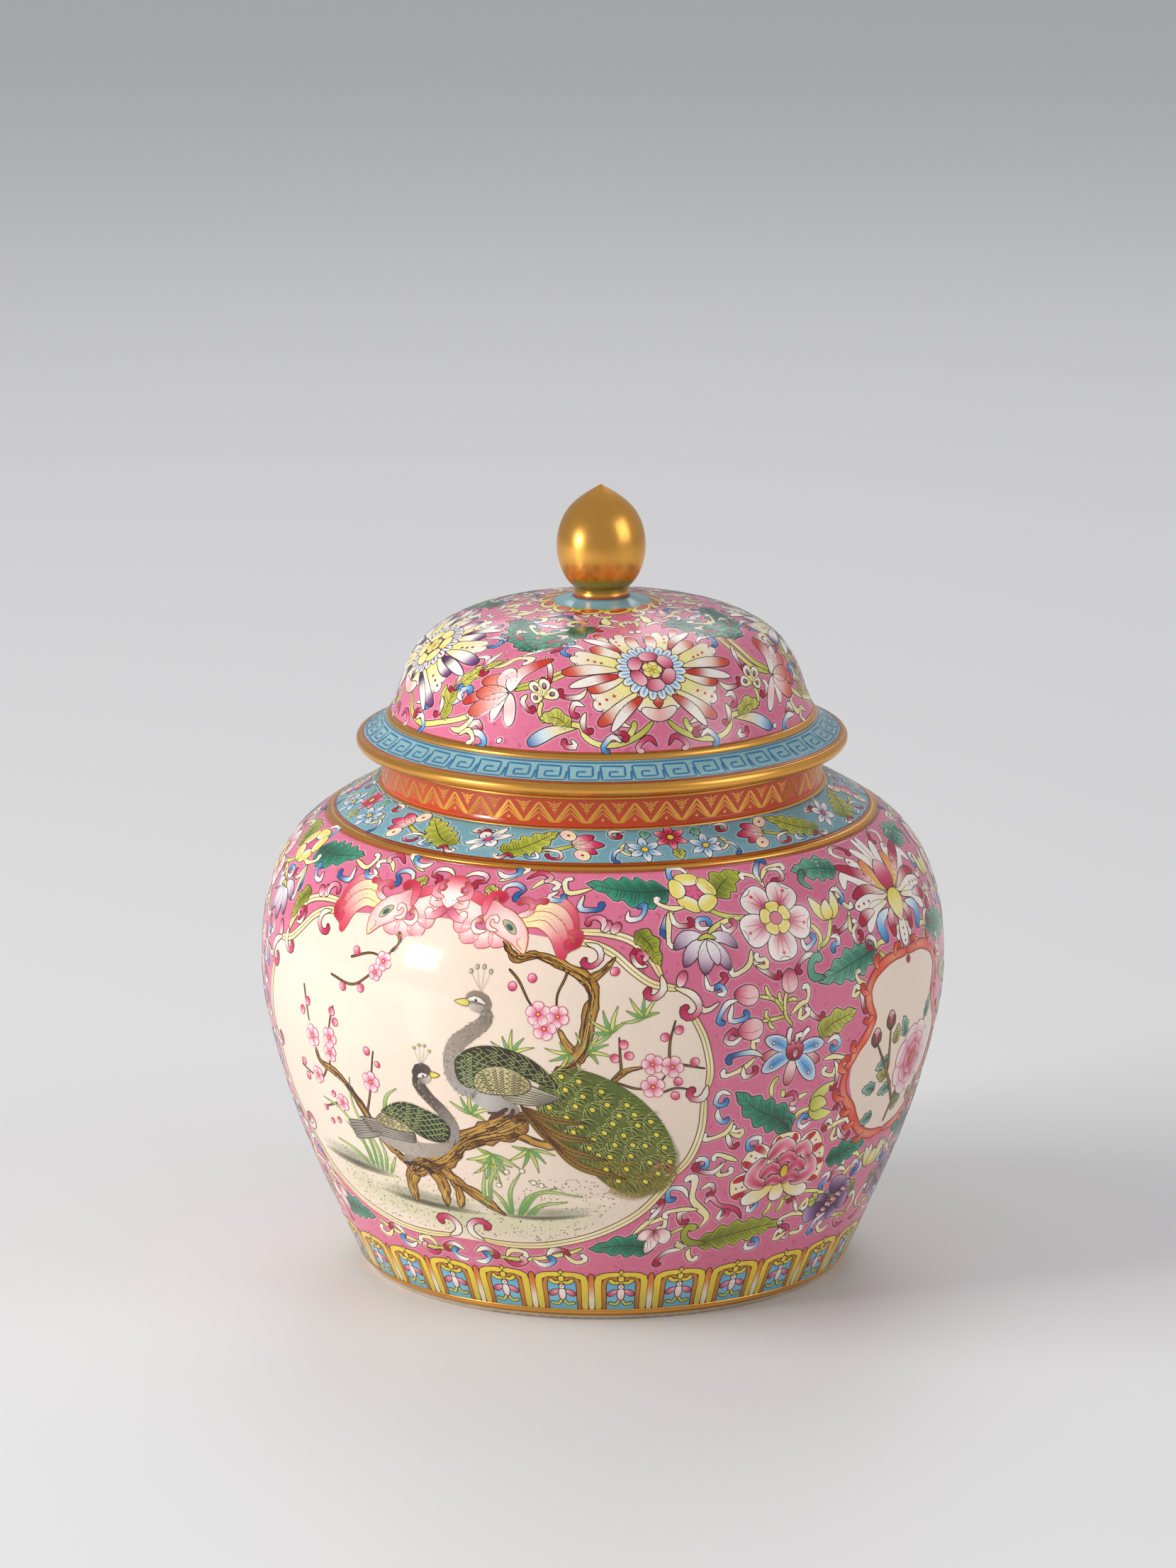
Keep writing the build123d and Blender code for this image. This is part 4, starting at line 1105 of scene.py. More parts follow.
def peahen(p):
    """The peahen, low on the trunk and facing right."""
    for k in range(6):
        p.dab([(-27, 68.6 - k * 0.7), (-35, 67.2 - k * 0.9), (-42.6 + k * 0.5, 66.6 - k * 1.1)], 1.0,
              ("8f8374", "a79c8e", "857a6c"), (0.4, 0.4), 3.4 + 0.3 * k, line="463c32")
    downy(p, [(-30, 65), (-16, 62), (-4, 63), (3, 67.6)], 2.9, ("ada091", "b5a89a", "a39382"), (0.5, 0.5),
        4, 60, 11)
    downy(p, [(-10, 64), (-15, 60), (-18.6, 55.4)], 3.4, ("b0a394", "a59888", "8c7c6c"), (0.8, 0.75, 0.2),
        3.8, 40, 12)
    downy(p, [(-7, 91), (-7.6, 87.4), (-4.2, 82.8), (0.2, 78.4), (2.8, 73), (2.4, 66.8)], 2.7,
        ("4a3a30", "4f3f35", "6a5a50", "9a8e86", "a39890"), (0.85, 0.85, 0.76, 0.85, 1.05, 1.1), 5, 200,
        13)
    for k in range(6):
        p.dab([(-12, 67.4 - k * 0.5), (-22, 69.6 - k * 0.85), (-36 + k * 0.9, 69.6 - k * 0.9)], 0.85,
              ("8c8274", "aea397", "8c8274"), (0.4, 0.6), 5.6 - 0.2 * k, line="463c32")
    plumes(p, [(-9, 71), (-16, 72), (-28, 70.4)], 3.8, ("c4b47c", "d2c494", "b0a070"), (0.4, 0.6),
        "5a5030", 1.8, 6.4)
    plumes(p, [(2, 70), (-7, 72.4), (-15, 75.2), (-25, 74.2)], 5.4, ("2c2a16", "2e2c18", "38341c"),
        (0.4, 0.85), "a0b270", 2.2, 7)
    p.dab([(-8.2, 88), (-7.6, 91.6), (-5, 93), (-2.6, 91.6)], 2.3, ("4a3a30", "3f3028", "5a483c"),
        (0.7, 0.4), 6.6, line=None)
    p.dab([(-7, 88.4), (-4.8, 89.4), (-2.4, 90.8)], 1.6, ("6a5a50", "b5a89a", "c9bdb0"), (0.5, 0.5), 6.5,
        line=None)
    p.dab([(-7.4, 89.8), (-5.6, 90.9), (-3.4, 91)], 0.8, ("e6ddd4", "f4ece2", "d9cfc6"), (0.5, 0.6), 7.4,
        line="4a3a30")
    p.dot(-5.2, 90.7, 0.46, "2a1c16", 8.4)
    p.dot(-5, 90.9, 0.15, WHITE, 9)
    p.dab([(-2.4, 91.4), (1, 91.6)], 1.0, ("e6cf3c", "efe08a"), (0.3, 0.9), 7.6, line="7a6a2a")
    for x, y in ((-8, 99.6), (-6, 100.8), (-4, 100.8), (-2.2, 99.2)):
        p.hair([(-5.8, 94.2), (0.4 * -5.8 + 0.6 * x, 97.2), (x, y)], 0.07, "a89c90", 7)
        p.dot(x, y + 0.4, 0.38, "e2d68e", 7, "a08c60")
    for path in ([(-19, 55.6), (-12.6, 55.8), (-7, 53.4)], [(-11, 55.8), (-8, 54), (-8.6, 52.8)],
            [(-10.4, 58.4), (-7, 57.8)]):
        p.dab(path, 0.4, ("3f2c20", "5a4030"), TAPER, 7)


def garden(p):
    """The tree, its blossom, the bamboo, the grass and the stippled ground."""
    wash = (IVORY, "ded6b2", "d8d0aa", "e2dab8", IVORY)
    p.dab([(-66, 45), (-30, 41), (20, 38), (62, 45)], 9.5, wash, (0.4, 0.4), -0.2, edge=IVORY, line=None)
    for path, half in (([(-66, 53.4), (-46, 52), (-20, 50.4)], 3.6), ([(-40, 44), (-14, 42.6), (14, 41.6)],
            3.2), ([(14, 42), (30, 41.6), (50, 44)], 2.6)):
        p.dab(path, half, (IVORY, "c2bda2", "a29d86", "c2bda2", IVORY), (0.7, 0.7), 0.1, edge=IVORY,
            line=None)
    for path, half in (([(-64, 51), (-44, 49.6), (-22, 48.6)], 1.8), ([(-34, 42), (-14, 40.4), (10, 39.4)],
            1.5), ([(12, 40), (28, 39.6), (46, 41.6)], 1.1)):
        p.dab(path, half, ("d8d0aa", "77725c", "4c483a", "77725c", "d8d0aa"), (0.7, 0.7), 0.4,
            edge="b9b394", line=None)
    draw = np.random.default_rng(3)
    for _ in range(900):
        x, y = draw.uniform(-58, 58), draw.uniform(30, 56)
        if abs(x) < 66 - (56 - y) * 1.1 and (y < 46 or abs(x) > 22 or draw.random() < 0.3):
            p.dot(x, y, draw.uniform(0.13, 0.26), "5c5844", 0.9)
    twig(p, [(-61.4, 112), (-59.8, 105), (-58.6, 99.8)], [(-44.2, 108), (-46, 103), (-47, 99)],
        [(-45.4, 118.6), (-35, 117), (-28, 120.6), (-22, 126), (-17.6, 131.4)],
        [(-35.8, 126), (-27, 128.8), (-21, 128)], [(-50, 85.4), (-54, 80.6), (-60, 80), (-68, 82)],
        [(-48.6, 85), (-48, 91)], [(-32, 72), (-28.6, 82), (-25.4, 96)],
        [(45, 131), (44, 127), (42, 122), (42, 117)], [(25.4, 129.6), (29, 126), (32.6, 119.6),
        (35, 116.6)], [(62.8, 95), (62.6, 102), (62.4, 108)], [(78.6, 99), (79, 106), (80.8, 113)],
        [(82.6, 98), (90.4, 96)], [(76, 88.6), (80, 89.8), (84, 89.2)], [(61, 92.4), (68, 90), (74, 91.4),
        (77, 94.4)], [(-46.4, 72.6), (-55.6, 69)])
    bough(p, [(22, 138.6), (25, 135.2), (28, 132.8), (33, 134.6), (40, 132.8), (46, 130), (51, 127.6),
        (54, 122), (52.6, 115.6), (51.8, 109), (50.2, 103.4), (45, 97.6), (41, 95.6)], 1.9,
        (0.55, 0.8, 0.6, 0.75, 0.85, 1.0, 1.1, 1.0, 1.35, 1.5), seed=2)
    bough(p, [(51.4, 126.6), (56, 129.6), (59.6, 134.2)], 1.5, TAPER, seed=3)
    bough(p, [(47.4, 102.6), (45, 106), (42.8, 110.6)], 1.5, TAPER, seed=4)
    bough(p, [(-16.2, 137.4), (-15.2, 133.6), (-18.6, 130.4)], 0.8, TAPER, seed=5)
    bough(p, [(59.4, 92.6), (64, 96.4), (70.6, 97.8)], 1.0, TAPER, seed=6)
    bough(p, [(-14, 51.6), (-20, 57.6), (-28, 64.4), (-33, 72), (-36, 76), (-41, 81.4), (-47, 84.6),
        (-54, 86.4), (-56, 91)], 1.25, seed=7)
    for path, half, seed in (([(-14, 55), (-17.4, 48), (-17, 40)], 2.3, 8),
            ([(-9, 56.6), (-4.6, 50), (-4.6, 40.4)], 2.1, 9), ([(0, 52), (1.4, 46), (0.4, 40.6)], 1.5, 10),
            ([(-5, 57.6), (2, 50.6), (8, 46.8), (16.4, 39.8)], 2.1, 11),
            ([(24, 73.4), (33, 69.4), (40.6, 69)], 1.7, 12)):
        bough(p, path, half, (1.3, 1.05, 0.85, 0.95, 0.3), 2.2, seed)
    bough(p, [(-17, 52.6), (-8, 57.6), (0, 61.6), (5.6, 67.4), (13, 70.8), (23, 75.4), (31, 80)], 4.3,
          (0.7, 1.0, 0.8, 0.72, 0.95, 1.1, 0.85), 2.6, 13)
    for x, y, half in ((11.6, 67.6, 1.9), (24.4, 71.8, 1.6), (27, 78.6, 1.5), (-7, 56.6, 1.5),
            (3.6, 61.6, 1.2), (17.6, 73.6, 1.2)):
        p.dab([(x - 1.4 * half, y - 0.7 * half), (x, y + 0.2 * half), (x + 1.4 * half, y + 0.4 * half)],
            0.55 * half, ("a06c28", "5a3210", "7a4a1a"), (0.3, 0.4), 3.8, line=BARK_LINE)
    for x, y, turn, size in ((27, 101.6, 0, 0.8), (46, 102.4, 150, 0.8), (52.4, 103, -30, 0.8),
            (60, 109.6, 60, 0.9), (70.6, 114.4, 40, 0.8), (11, 78.6, 0, 0.85), (16, 64, 180, 1.0),
            (29, 67, 195, 0.9), (14.6, 60.6, 200, 0.8)):
        p.put(bamboo, x, y, turn, size)
    grass(p, ([(-34, 50.4), (-36, 58), (-44, 66)], [(-32, 50.2), (-33, 60), (-39, 74), (-38.6, 84)],
        [(-30, 50), (-30, 58), (-34, 66)], [(-28, 50), (-27, 57), (-28.6, 63)],
        [(-36, 50.8), (-42, 55), (-52, 57.6)], [(-26, 49.8), (-24, 54), (-22.4, 57)],
        [(-34, 51), (-38, 62), (-46, 70), (-56, 72.6)], [(-24, 73), (-22, 80), (-17, 84)],
        [(19, 40.4), (20, 50), (25, 58)], [(21, 40.4), (26, 48), (36, 52.4)],
        [(18, 40.4), (16.4, 46), (12.6, 51)], [(24, 40.6), (30, 45), (38.6, 46.6)],
        [(22, 40.4), (30, 50), (44, 49)], [(12, 44), (14, 54), (19.4, 62)],
        [(10, 42.6), (10.6, 50), (12.6, 58)], [(26, 40.8), (28.4, 44.4), (32, 46)]))
    for x, y in ((20, 57.6), (25.4, 58.4), (28.6, 54), (16.4, 52), (31, 53)):
        p.dot(x, y, 0.85, WHITE, 3.4, "8a8a4a")
    for k, (x, y, size) in enumerate(((36, 115.4, 1.05), (42.4, 114.8, 0.95), (38, 110.6, 1.0),
            (73, 98.6, 0.9), (79.4, 97.4, 0.95), (72.6, 90.6, 1.0), (-21, 127, 0.8), (-24.2, 122.8, 0.7),
            (-57, 95, 1.0), (-46.8, 96.6, 0.9), (-47.4, 91, 0.85), (-57, 80.6, 0.8), (-28, 84.4, 0.95),
            (-44.4, 73, 0.8))):
        p.put(plum, x, y, 29 * k, size)
    for k, (x, y) in enumerate(((27, 124), (33.4, 127), (60, 129.6), (77.4, 107.6), (82, 109.8),
            (63.8, 105.6), (60.8, 101), (65.4, 101.8), (87, 98.6), (81, 92), (79.6, 87), (-33.2, 128.4),
            (-39, 115.6), (-30.4, 116.6), (-59, 106.6), (-62.6, 103), (-45, 106), (-43.4, 102.6),
            (-66, 83.4), (-64.4, 78.4), (-28.4, 95.4), (-24, 91.4), (-55.6, 68.6), (-53, 64),
            (-48.6, 65.4), (-49, 75.4))):
        p.put(plum_bud, x, y, 90 + 37 * k, 1.0 if k < 21 else 0.75)


PANEL = [(27.8, 2), (27.6, 12), (27.7, 22), (29.3, 32), (33.7, 46), (41.3, 60), (50.4, 70), (57.4, 76),
    (64, 82), (74, 87), (86, 89.4), (96, 91.8), (106, 90.4), (114, 87.4), (118.4, 87.4), (122, 84),
    (124.2, 77), (129.6, 66), (135.2, 59), (138.4, 52), (140, 40), (142, 24), (144, 6)]
panel_frame, panel_plants, panel_birds = Painting(), Painting(), Painting()
garden(panel_plants)
peacock(panel_birds)
peahen(panel_birds)
for side in (-1, 1):
    panel_frame.put(frame_half, 0, 0, flip=side)
    panel_frame.put(phoenix, 0, 0, flip=side)
crown(panel_frame)
for name, turn in (("front", 0), ("back", 180)):
    reserve(f"{name}_panel_white", body_wall, turn, PANEL, "jar")
    panel_plants.lay(f"{name}_panel_plum_tree", body_wall, turn, "jar", "white_glaze", ground=0.17)
    panel_birds.lay(f"{name}_panel_peafowl", body_wall, turn, "jar", "white_glaze", ground=0.20)
    panel_frame.lay(f"{name}_panel_frame", body_wall, turn, "jar", "pink_enamel", ground=0.18)

# --- Small side panels and the chrysanthemums over them --------------------------------------
# On each side is a small white panel in a coral baroque border with a pink peony in it. A great
# chrysanthemum stands above it, and loose scrolls fill what is left under the panels.

SIDE_PANEL = [(58, 2), (59, 8), (61, 13), (63.4, 16.4), (68, 21), (72, 24), (76, 26.4), (82, 29.4),
    (88, 30), (92, 28.4), (96, 25), (100, 21.4), (103, 19.6), (107, 21.4), (111, 22.8), (114, 22.2),
    (117, 19), (119, 13), (120, 4)]


def side_border_half(p):
    """The right half of the coral border, with its flame points."""
    warm = ("e9502a", "f59a78", "e6481f", "f39070", "e04a20")
    for path in ([(-0.5, 57.6), (9, 58.2), (16.4, 61.6), (22, 67.2), (26, 72.6), (30.4, 77), (32.6, 82.4),
            (32, 87.6)], [(33, 87), (29, 93), (24.4, 98), (20.8, 103.6)],
            [(20.6, 102.6), (23.8, 107.6), (24.2, 113), (20.4, 117.6), (13, 120.8), (4, 121.4),
            (-0.5, 121.2)]):
        p.dab(path, 1.75, warm, (0.8, 1, 0.85, 1.05, 0.8, 1), 1.4, edge="c93a18", line="8a2410")
    for path in ([(30, 76), (34.6, 77.4), (35.6, 81)], [(32, 86), (36, 88.4), (34, 91.6), (31.4, 90.4)],
            [(25, 71), (28.4, 70), (30, 72.4)], [(21, 66), (24.4, 64.4), (26.6, 66)],
            [(22, 104), (24.4, 102), (26.6, 103.6)], [(24, 112), (27.4, 113), (27, 116)],
            [(18.4, 119), (20, 122), (17, 123.4)], [(8, 121.4), (7, 124.4), (3.6, 124)],
            [(13, 60), (15, 57.6), (18.4, 58.4)], [(29, 93), (31.6, 94.6), (30.4, 97)]):
        p.dab(path, 1.15, ("f39070", "e9502a", BRICK), CURL, 2, line="8a2410")


def tree_peony(p):
    """A pale pink tree peony with a crimson eye."""
    for ring, reach, half, tones in ((8, 13, 4.8, ("c23a5c", "f0aab8", WHITE)),
            (7, 9.2, 3.9, (CRIMSON, ROSE, "fbdfe2")), (5, 5.6, 2.9, (CRIMSON, ROSE, BLUSH))):
        for k in range(ring):
            a = 2 * math.pi * k / ring + reach
            out = np.array([math.cos(a), math.sin(a)])
            p.dab([out * reach * 0.2, out * reach * 0.6, out * reach], half, tones, (0.6, 0.36),
                3 + (12 - reach) * 0.25 + 0.2 * (k % 2), line="c85a70")
    for k in range(9):
        p.dot(1.7 * math.cos(k * 2.4) * (k / 9) ** 0.5, 1.7 * math.sin(k * 2.4) * (k / 9) ** 0.5, 0.42,
            "f0a030", 7.4)


def side_picture(p):
    """The small panel's picture: a spray of tree peony."""
    twig(p, [(-1, 61), (2, 70), (8, 78)], [(1, 68), (-6, 78), (-14, 88), (-18.6, 94)],
        [(-8, 82), (-10, 91), (-11, 98)], [(8, 84), (14, 92), (17, 98)], half=0.55)
    blue_green, olive = ("245f54", "5c9c86", "a9cdb8"), ("6f7420", "a8a84a", "cfc97c")
    for x, y, turn, size, tones in ((0, 92, 110, 6.4, blue_green), (-9, 86, 200, 6, blue_green),
            (16, 95, 60, 6.4, blue_green), (-3, 75, 190, 6.6, blue_green), (1, 71, 330, 6.4, blue_green),
            (-11, 66, 200, 6, blue_green), (-7, 91, 80, 5.4, olive), (-8, 79, 160, 5.6, olive),
            (1, 66, 10, 6, olive), (20, 72, 300, 7, blue_green), (14, 68, 330, 6, olive),
            (-14, 76, 170, 6, blue_green)):
        out = toward(turn) * size * 1.25
        leaf(p, [(x, y), (x, y) + out * 0.5 + (0.4, 0.4), (x, y) + out], 2.7, tones, 3)
    p.put(tree_peony, 9.6, 82)
    for x, y in ((-19, 95.6), (-11, 100)):
        p.dab([(x, y - 3), (x, y + 3.4)], 2.3, ("8a2a34", ROSE, BLUSH), (0.5, 0.5), 3)
        for side in (-1, 1):
            p.dab([(x, y - 3.4), (x + side * 1.8, y - 1), (x + side * 1.6, y + 1.6)], 0.9,
                ("5a3a1c", "7a5a2c"), PETAL, 4)


def chrysanthemum_half(p):
    """The right half of the great chrysanthemum."""
    white, dipped, warm = (CREAM, WHITE, WHITE), (WHITE, BLUSH, CRIMSON, CRIMSON), (YELLOW, "f4b870",
        "e8804a")
    for path, half, tones in (([(5, 142), (13, 147), (20, 152), (24, 147.4)], 1.9, white),
            ([(4, 142.6), (9, 149), (13.4, 157.6)], 2.5, white), ([(5, 143), (11, 150), (21, 156)], 2.2,
            dipped), ([(3, 141.6), (12, 141.6), (23, 140.6)], 2.5, white),
            ([(4, 142), (14, 145.6), (22, 144)], 1.7, dipped), ([(5, 139.4), (14, 138.4), (20, 131.6)],
            2.3, white), ([(14, 138), (19, 137.4), (23.4, 134.6)], 2.0, dipped),
            ([(3, 137.6), (6.4, 133), (5.6, 127.4)], 2.0, dipped), ([(6, 137), (13, 133.4), (11, 126.4)],
            2.2, (WHITE, PALE_BLUE, SKY, BLUE)), ([(2, 143), (7, 148), (7.6, 155.6)], 2.6, warm),
            ([(1.6, 146), (3.4, 154), (7.6, 160.4)], 1.9, white), ([(1, 148), (1, 156), (1.6, 164)], 1.5,
            white), ([(2.4, 131), (4.4, 128.6), (3.8, 125.6)], 1.2, white)):
        p.dab(path, half, tones, (0.7, 0.45), 1.6 + 0.25 * (tones is dipped) + 0.5 * (tones is warm))
    for x, y in ((13, 156), (11.6, 153), (10.4, 150.4), (21, 140.8), (18, 141.2), (15, 141.4)):
        p.dot(x, y, 0.5, CRIMSON, 3.2)
    stem(p, [(20, 125), (16, 127.4), (12, 127)], [(17, 124.6), (13, 121.6), (8, 123.4)], half=0.85)
    curls(p, ("red", [(13, 157), (17, 161), (13.4, 163.6), (9.4, 161)]),
        ("red", [(18.4, 125.4), (18.4, 129), (22, 130.4), (22.6, 127.6)]),
        ("blue", [(0.4, 125), (1.4, 121.6), (4.4, 122.4)]),
        ("ice", [(22, 158), (25.4, 160), (28, 157.4), (26, 155.6)]),
        ("cream", [(26, 150), (28.4, 146), (26.4, 142)]),
        ("red", [(25, 136), (28, 133), (27, 129.4), (24.6, 130.6)]))


def chrysanthemum(p):
    """The great chrysanthemum over a small panel."""
    for side in (-1, 1):
        p.put(chrysanthemum_half, 0, 0, flip=side)
    p.dab([(0, 142), (0, 148), (0, 153.6)], 4.6, (CRIMSON, ROSE, BLUSH), (0.6, 0.6), 3.4)
    p.dab([(0, 143), (0, 136.6), (0, 131.6)], 4.6, (YELLOW, LEMON, CREAM), (0.55, 0.9), 4)
    p.dab([(0, 134), (0, 128), (0, 123)], 2.7, (CREAM, WHITE, WHITE), (0.6, 0.45), 3.6)
    for y in (129, 126.8, 124.8):
        p.dot(0, y, 0.45, CRIMSON, 4.8)


def under_side_panel(p):
    """Scrolls round the foot of a small panel, right half."""
    stem(p, [(2, 52), (10, 49.4), (17, 44), (22, 36)], [(4, 26), (12, 27.4), (20, 31)], half=0.9)
    p.put(tulip, 0, 44, 0, 1.05)
    leaf(p, [(5, 36), (12, 38.4), (20, 36.4)], 3.6, YELLOW_GREEN, 5)
    curls(p, ("cream", [(10, 50), (14, 52.4), (19, 52)]), ("red", [(16, 46), (20, 48), (24, 46.6)]),
        ("blue", [(8, 48), (6.4, 44.4), (9.6, 43)]), ("red", [(12, 28), (12.4, 32), (8.4, 33)]),
        ("ice", [(18, 30), (22, 28), (23.4, 24.4)]), ("cream", [(4, 26), (1.4, 30), (3.4, 34)]),
        ("rose", [(2, 22), (6, 21.4), (9, 23.6)]), ("cream", [(12, 24), (16, 22), (19, 24)]))


def under_panel(p):
    """Scrolls in the narrow space below a large panel and over it, right half."""
    stem(p, [(4, 24), (12, 21.6), (22, 22), (34, 25), (40, 27.6)], half=0.75)
    curls(p, ("red", [(2, 22.6), (5.6, 24.8), (9, 23.8)]), ("cream", [(13, 22), (15, 25), (19, 25)]),
        ("ice", [(22, 22), (25, 19.6), (28.4, 20.8)]), ("red", [(27, 23), (29.4, 26.4), (33, 26.6)]),
        ("cream", [(33, 24.6), (36, 21.4), (39, 22)]), ("rose", [(12, 21), (15, 19), (18.4, 19.8)]),
        ("ice", [(1, 19), (4, 18.6), (6.4, 20.4)]), half=1.0)
    curls(p, ("cream", [(26, 157), (29, 160.6), (33.4, 160)]),
        ("rose", [(23, 161), (26.4, 164), (30, 163)]), ("ice", [(12, 163.6), (15.4, 161.4), (19, 162.6)]),
        ("cream", [(14, 159.4), (18, 161.6), (21.4, 164)]), half=1.0)


side_border, side_scene, side_flower, loose_scrolls = Painting(), Painting(), Painting(GLOW), Painting(GLOW)
for side in (-1, 1):
    side_border.put(side_border_half, 0, 0, flip=side)
    side_flower.put(under_side_panel, 0, 0, flip=side)
    loose_scrolls.put(under_panel, 0, 0, flip=side)
side_border.dot(0.6, 118.4, 1.2, CRIMSON, 3, OUTLINE)
side_picture(side_scene)
chrysanthemum(side_flower)
for name, turn in (("right", 90), ("left", -90)):
    reserve(f"{name}_side_panel_white", body_wall, turn, SIDE_PANEL, "jar")
    side_scene.lay(f"{name}_side_panel_peony", body_wall, turn, "jar", "white_glaze", ground=0.17)
    side_border.lay(f"{name}_side_panel_border", body_wall, turn, "jar", "coral_enamel", ground=0.17)
    side_flower.lay(f"{name}_chrysanthemum", body_wall, turn, "jar", "pink_enamel")
for name, turn in (("front", 0), ("back", 180)):
    loose_scrolls.lay(f"{name}_loose_scrolls", body_wall, turn, "jar", "pink_enamel")

# --- Shoulder, neck and foot -----------------------------------------------------------------
# The shoulder is a sky-blue band of small flowers above a gilt ring, the neck is coral with a gilt
# zigzag, and the foot ring is bare fired clay under a gilt line.

gilt = glaze("gilding", "ecac52", pale=1.03, deep=0.96, cloud=40, rough=(0.26, 0.32), grain=900, bump=0.03,
    metal=1.0, stipple=0.02)
brick = glaze("iron_red", "a4501c", cloud=80, rough=(0.14, 0.26))
sky_ground = glaze("sky_ground", "74a6b2", pale=1.05, deep=0.94, cloud=50, rough=(0.10, 0.22), grain=800,
    bump=0.08)
film("shoulder_red_lines", body_wall, PINK_TOP - 0.4, PINK_TOP + 4.2, brick, "jar",
    lift=0.12)
film("shoulder_gilt_ring", body_wall, PINK_TOP + 0.8, PINK_TOP + 3.0, gilt, "jar", lift=0.20)
film("shoulder_sky_ground", body_wall, PINK_TOP + 4.0, body_wall.length - 0.2, sky_ground, "jar")


def small_flower(p, petals=(WHITE, "bfd9ea", "4f93c4"), heart=YELLOW):
    """A six-petalled flower with a round heart."""
    for k in range(6):
        out = toward(30 + 60 * k)
        p.dab([out * 0.8, out * 3.2, out * 5.9], 1.5, petals[::-1], (0.6, 0.7), 2)
        p.hair([out * 1.4, out * 3.6], 0.12, OUTLINE, 3)
    p.dot(0, 0, 1.15, heart, 4, OUTLINE)


def shoulder_half(p):
    """The right half of one quarter of the shoulder's flowers, up to the white star."""
    stem(p, [(33, 177.4), (40, 175), (46, 174.6), (52, 173.6), (60, 174)], half=0.7)
    leaf(p, [(59, 173), (51, 175), (36.6, 183.6)], 4.6, ("7d8a16", "a9b43a", "cbcb5c"), 9)
    p.put(small_flower, 10.4, 175)
    for tip, half in (((25.4, 182), 1.9), ((23, 177.6), 2.1), ((26.4, 173.4), 1.8)):
        tip = np.array(tip)
        p.dab([(33.4, 177.4), tip * 0.5 + np.array((33.4, 177.4)) * 0.5 + (0, 0.5), tip], half,
              ("f9dfae", BLUSH, ROSE, CRIMSON), (0.6, 0.6), 2)
    for middle, size in (((33.6, 182), 2.6), ((31.4, 172.6), 2.7)):
        p.dab([np.array(middle) - (2.6, 0), np.array(middle) + (2.8, 0)], size, (CREAM, "fae3c2", BLUSH),
            EGG, 2.4)
        p.dot(*middle, 0.55, CRIMSON, 3.6)
    leaf(p, [(8, 183.6), (9.4, 180)], 1.9, ("1f8060", "5aa886", "9ccfae"), 3, veins=False)
    curls(p, ("cream", [(16, 178.6), (18.4, 175), (16, 172.4), (14.4, 174)]),
        ("blue", [(17, 176), (20.4, 174), (21.8, 170.6)]),
        ("red", [(15, 183.8), (19.4, 184), (20, 181.2), (17.6, 181)]),
        ("red", [(44, 175), (38.6, 174), (39, 170.8), (42.6, 171)]),
        ("ice", [(47, 174), (46.4, 171), (49.6, 170.4)]),
        ("red", [(60, 171.4), (62.4, 170), (60, 169.6), (57, 171.6)]),
        ("red", [(59, 183.4), (57.4, 180.8), (60.4, 180.4)]), half=0.7)


def shoulder_middle(p):
    """The crimson flower and leaf in the middle of a quarter of the shoulder."""
    p.put(small_flower, -0.5, 180.2, petals=("f6c0c8", "dd4464", CRIMSON))
    leaf(p, [(0.4, 174.6), (0.6, 169.4)], 2.4, ("8a9420", "c3c552", "dcd874"), 3)


shoulder = Painting(("b4dbe4", "74a6b2"))
for side in (-1, 1):
    shoulder.put(shoulder_half, 0, 0, flip=side)
shoulder_middle(shoulder)
shoulder.put(small_flower, 66.6, 177.6, 0, 1.05, petals=(WHITE, WHITE, "7fa8d8"), heart=ROSE)
for quarter in range(4):
    shoulder.lay(f"shoulder_flowers_{quarter + 1}", body_wall, 45 + 90 * quarter, "jar", "turquoise_enamel")

for node in ("neck_collar", "lid_locating_ring"):
    finish_node(node, porcelain)
neck_wall = Wall("neck_collar", spacing=0.5, straight=True)
coral_ground = glaze("coral_ground", "c8420f", pale=1.08, deep=0.9, cloud=60, rough=(0.12, 0.24), bump=0.06)
film("neck_coral_ground", neck_wall, 1.0, 12.4, coral_ground, "jar")
film("neck_gilt_root", neck_wall, 0.1, 1.5, gilt, "jar", lift=0.16)
film("neck_gilt_top", neck_wall, 10.6, 11.4, gilt, "jar", lift=0.18)

ZIGZAGS, ZIGZAG_MIDDLE = 44, 6.0
zigzag = Painting()
zigzag_pitch = 2 * math.pi * float(neck_wall.radius(ZIGZAG_MIDDLE)) / ZIGZAGS
for k in range(-ZIGZAGS // 8, ZIGZAGS // 8 + 1):
    x, half = k * zigzag_pitch, zigzag_pitch / 2
    for drop, pen in ((0, 0.4), (1.7, 0.24), (3.2, 0.18)):
        for side in (-1, 1):
            zigzag.dab([(x + side * (half - drop * 0.35), 2.6), (x, 9.4 - drop)], pen, (GOLD,), VINE, 1,
                line=None)
    for height, reach in ((9.6, 2.6), (8.6, 1.7), (7.4, 0.9)):
        for side in (-1, 1):
            zigzag.dab([(x + half, height - 1.1), (x + half + side * reach, height)], 0.2, (GOLD,), VINE,
                1, line=None)
    zigzag.dab([(x + half, 5.6), (x + half, 9.8)], 0.2, (GOLD,), VINE, 1, line=None)
    zigzag.dot(x, 3.8, 0.5, GOLD, 1)
for quarter in range(4):
    zigzag.lay(f"neck_gilt_zigzag_{quarter + 1}", neck_wall, 45 + 90 * quarter, "jar", "gilding",
        paint=gilt, upright=ZIGZAG_MIDDLE)

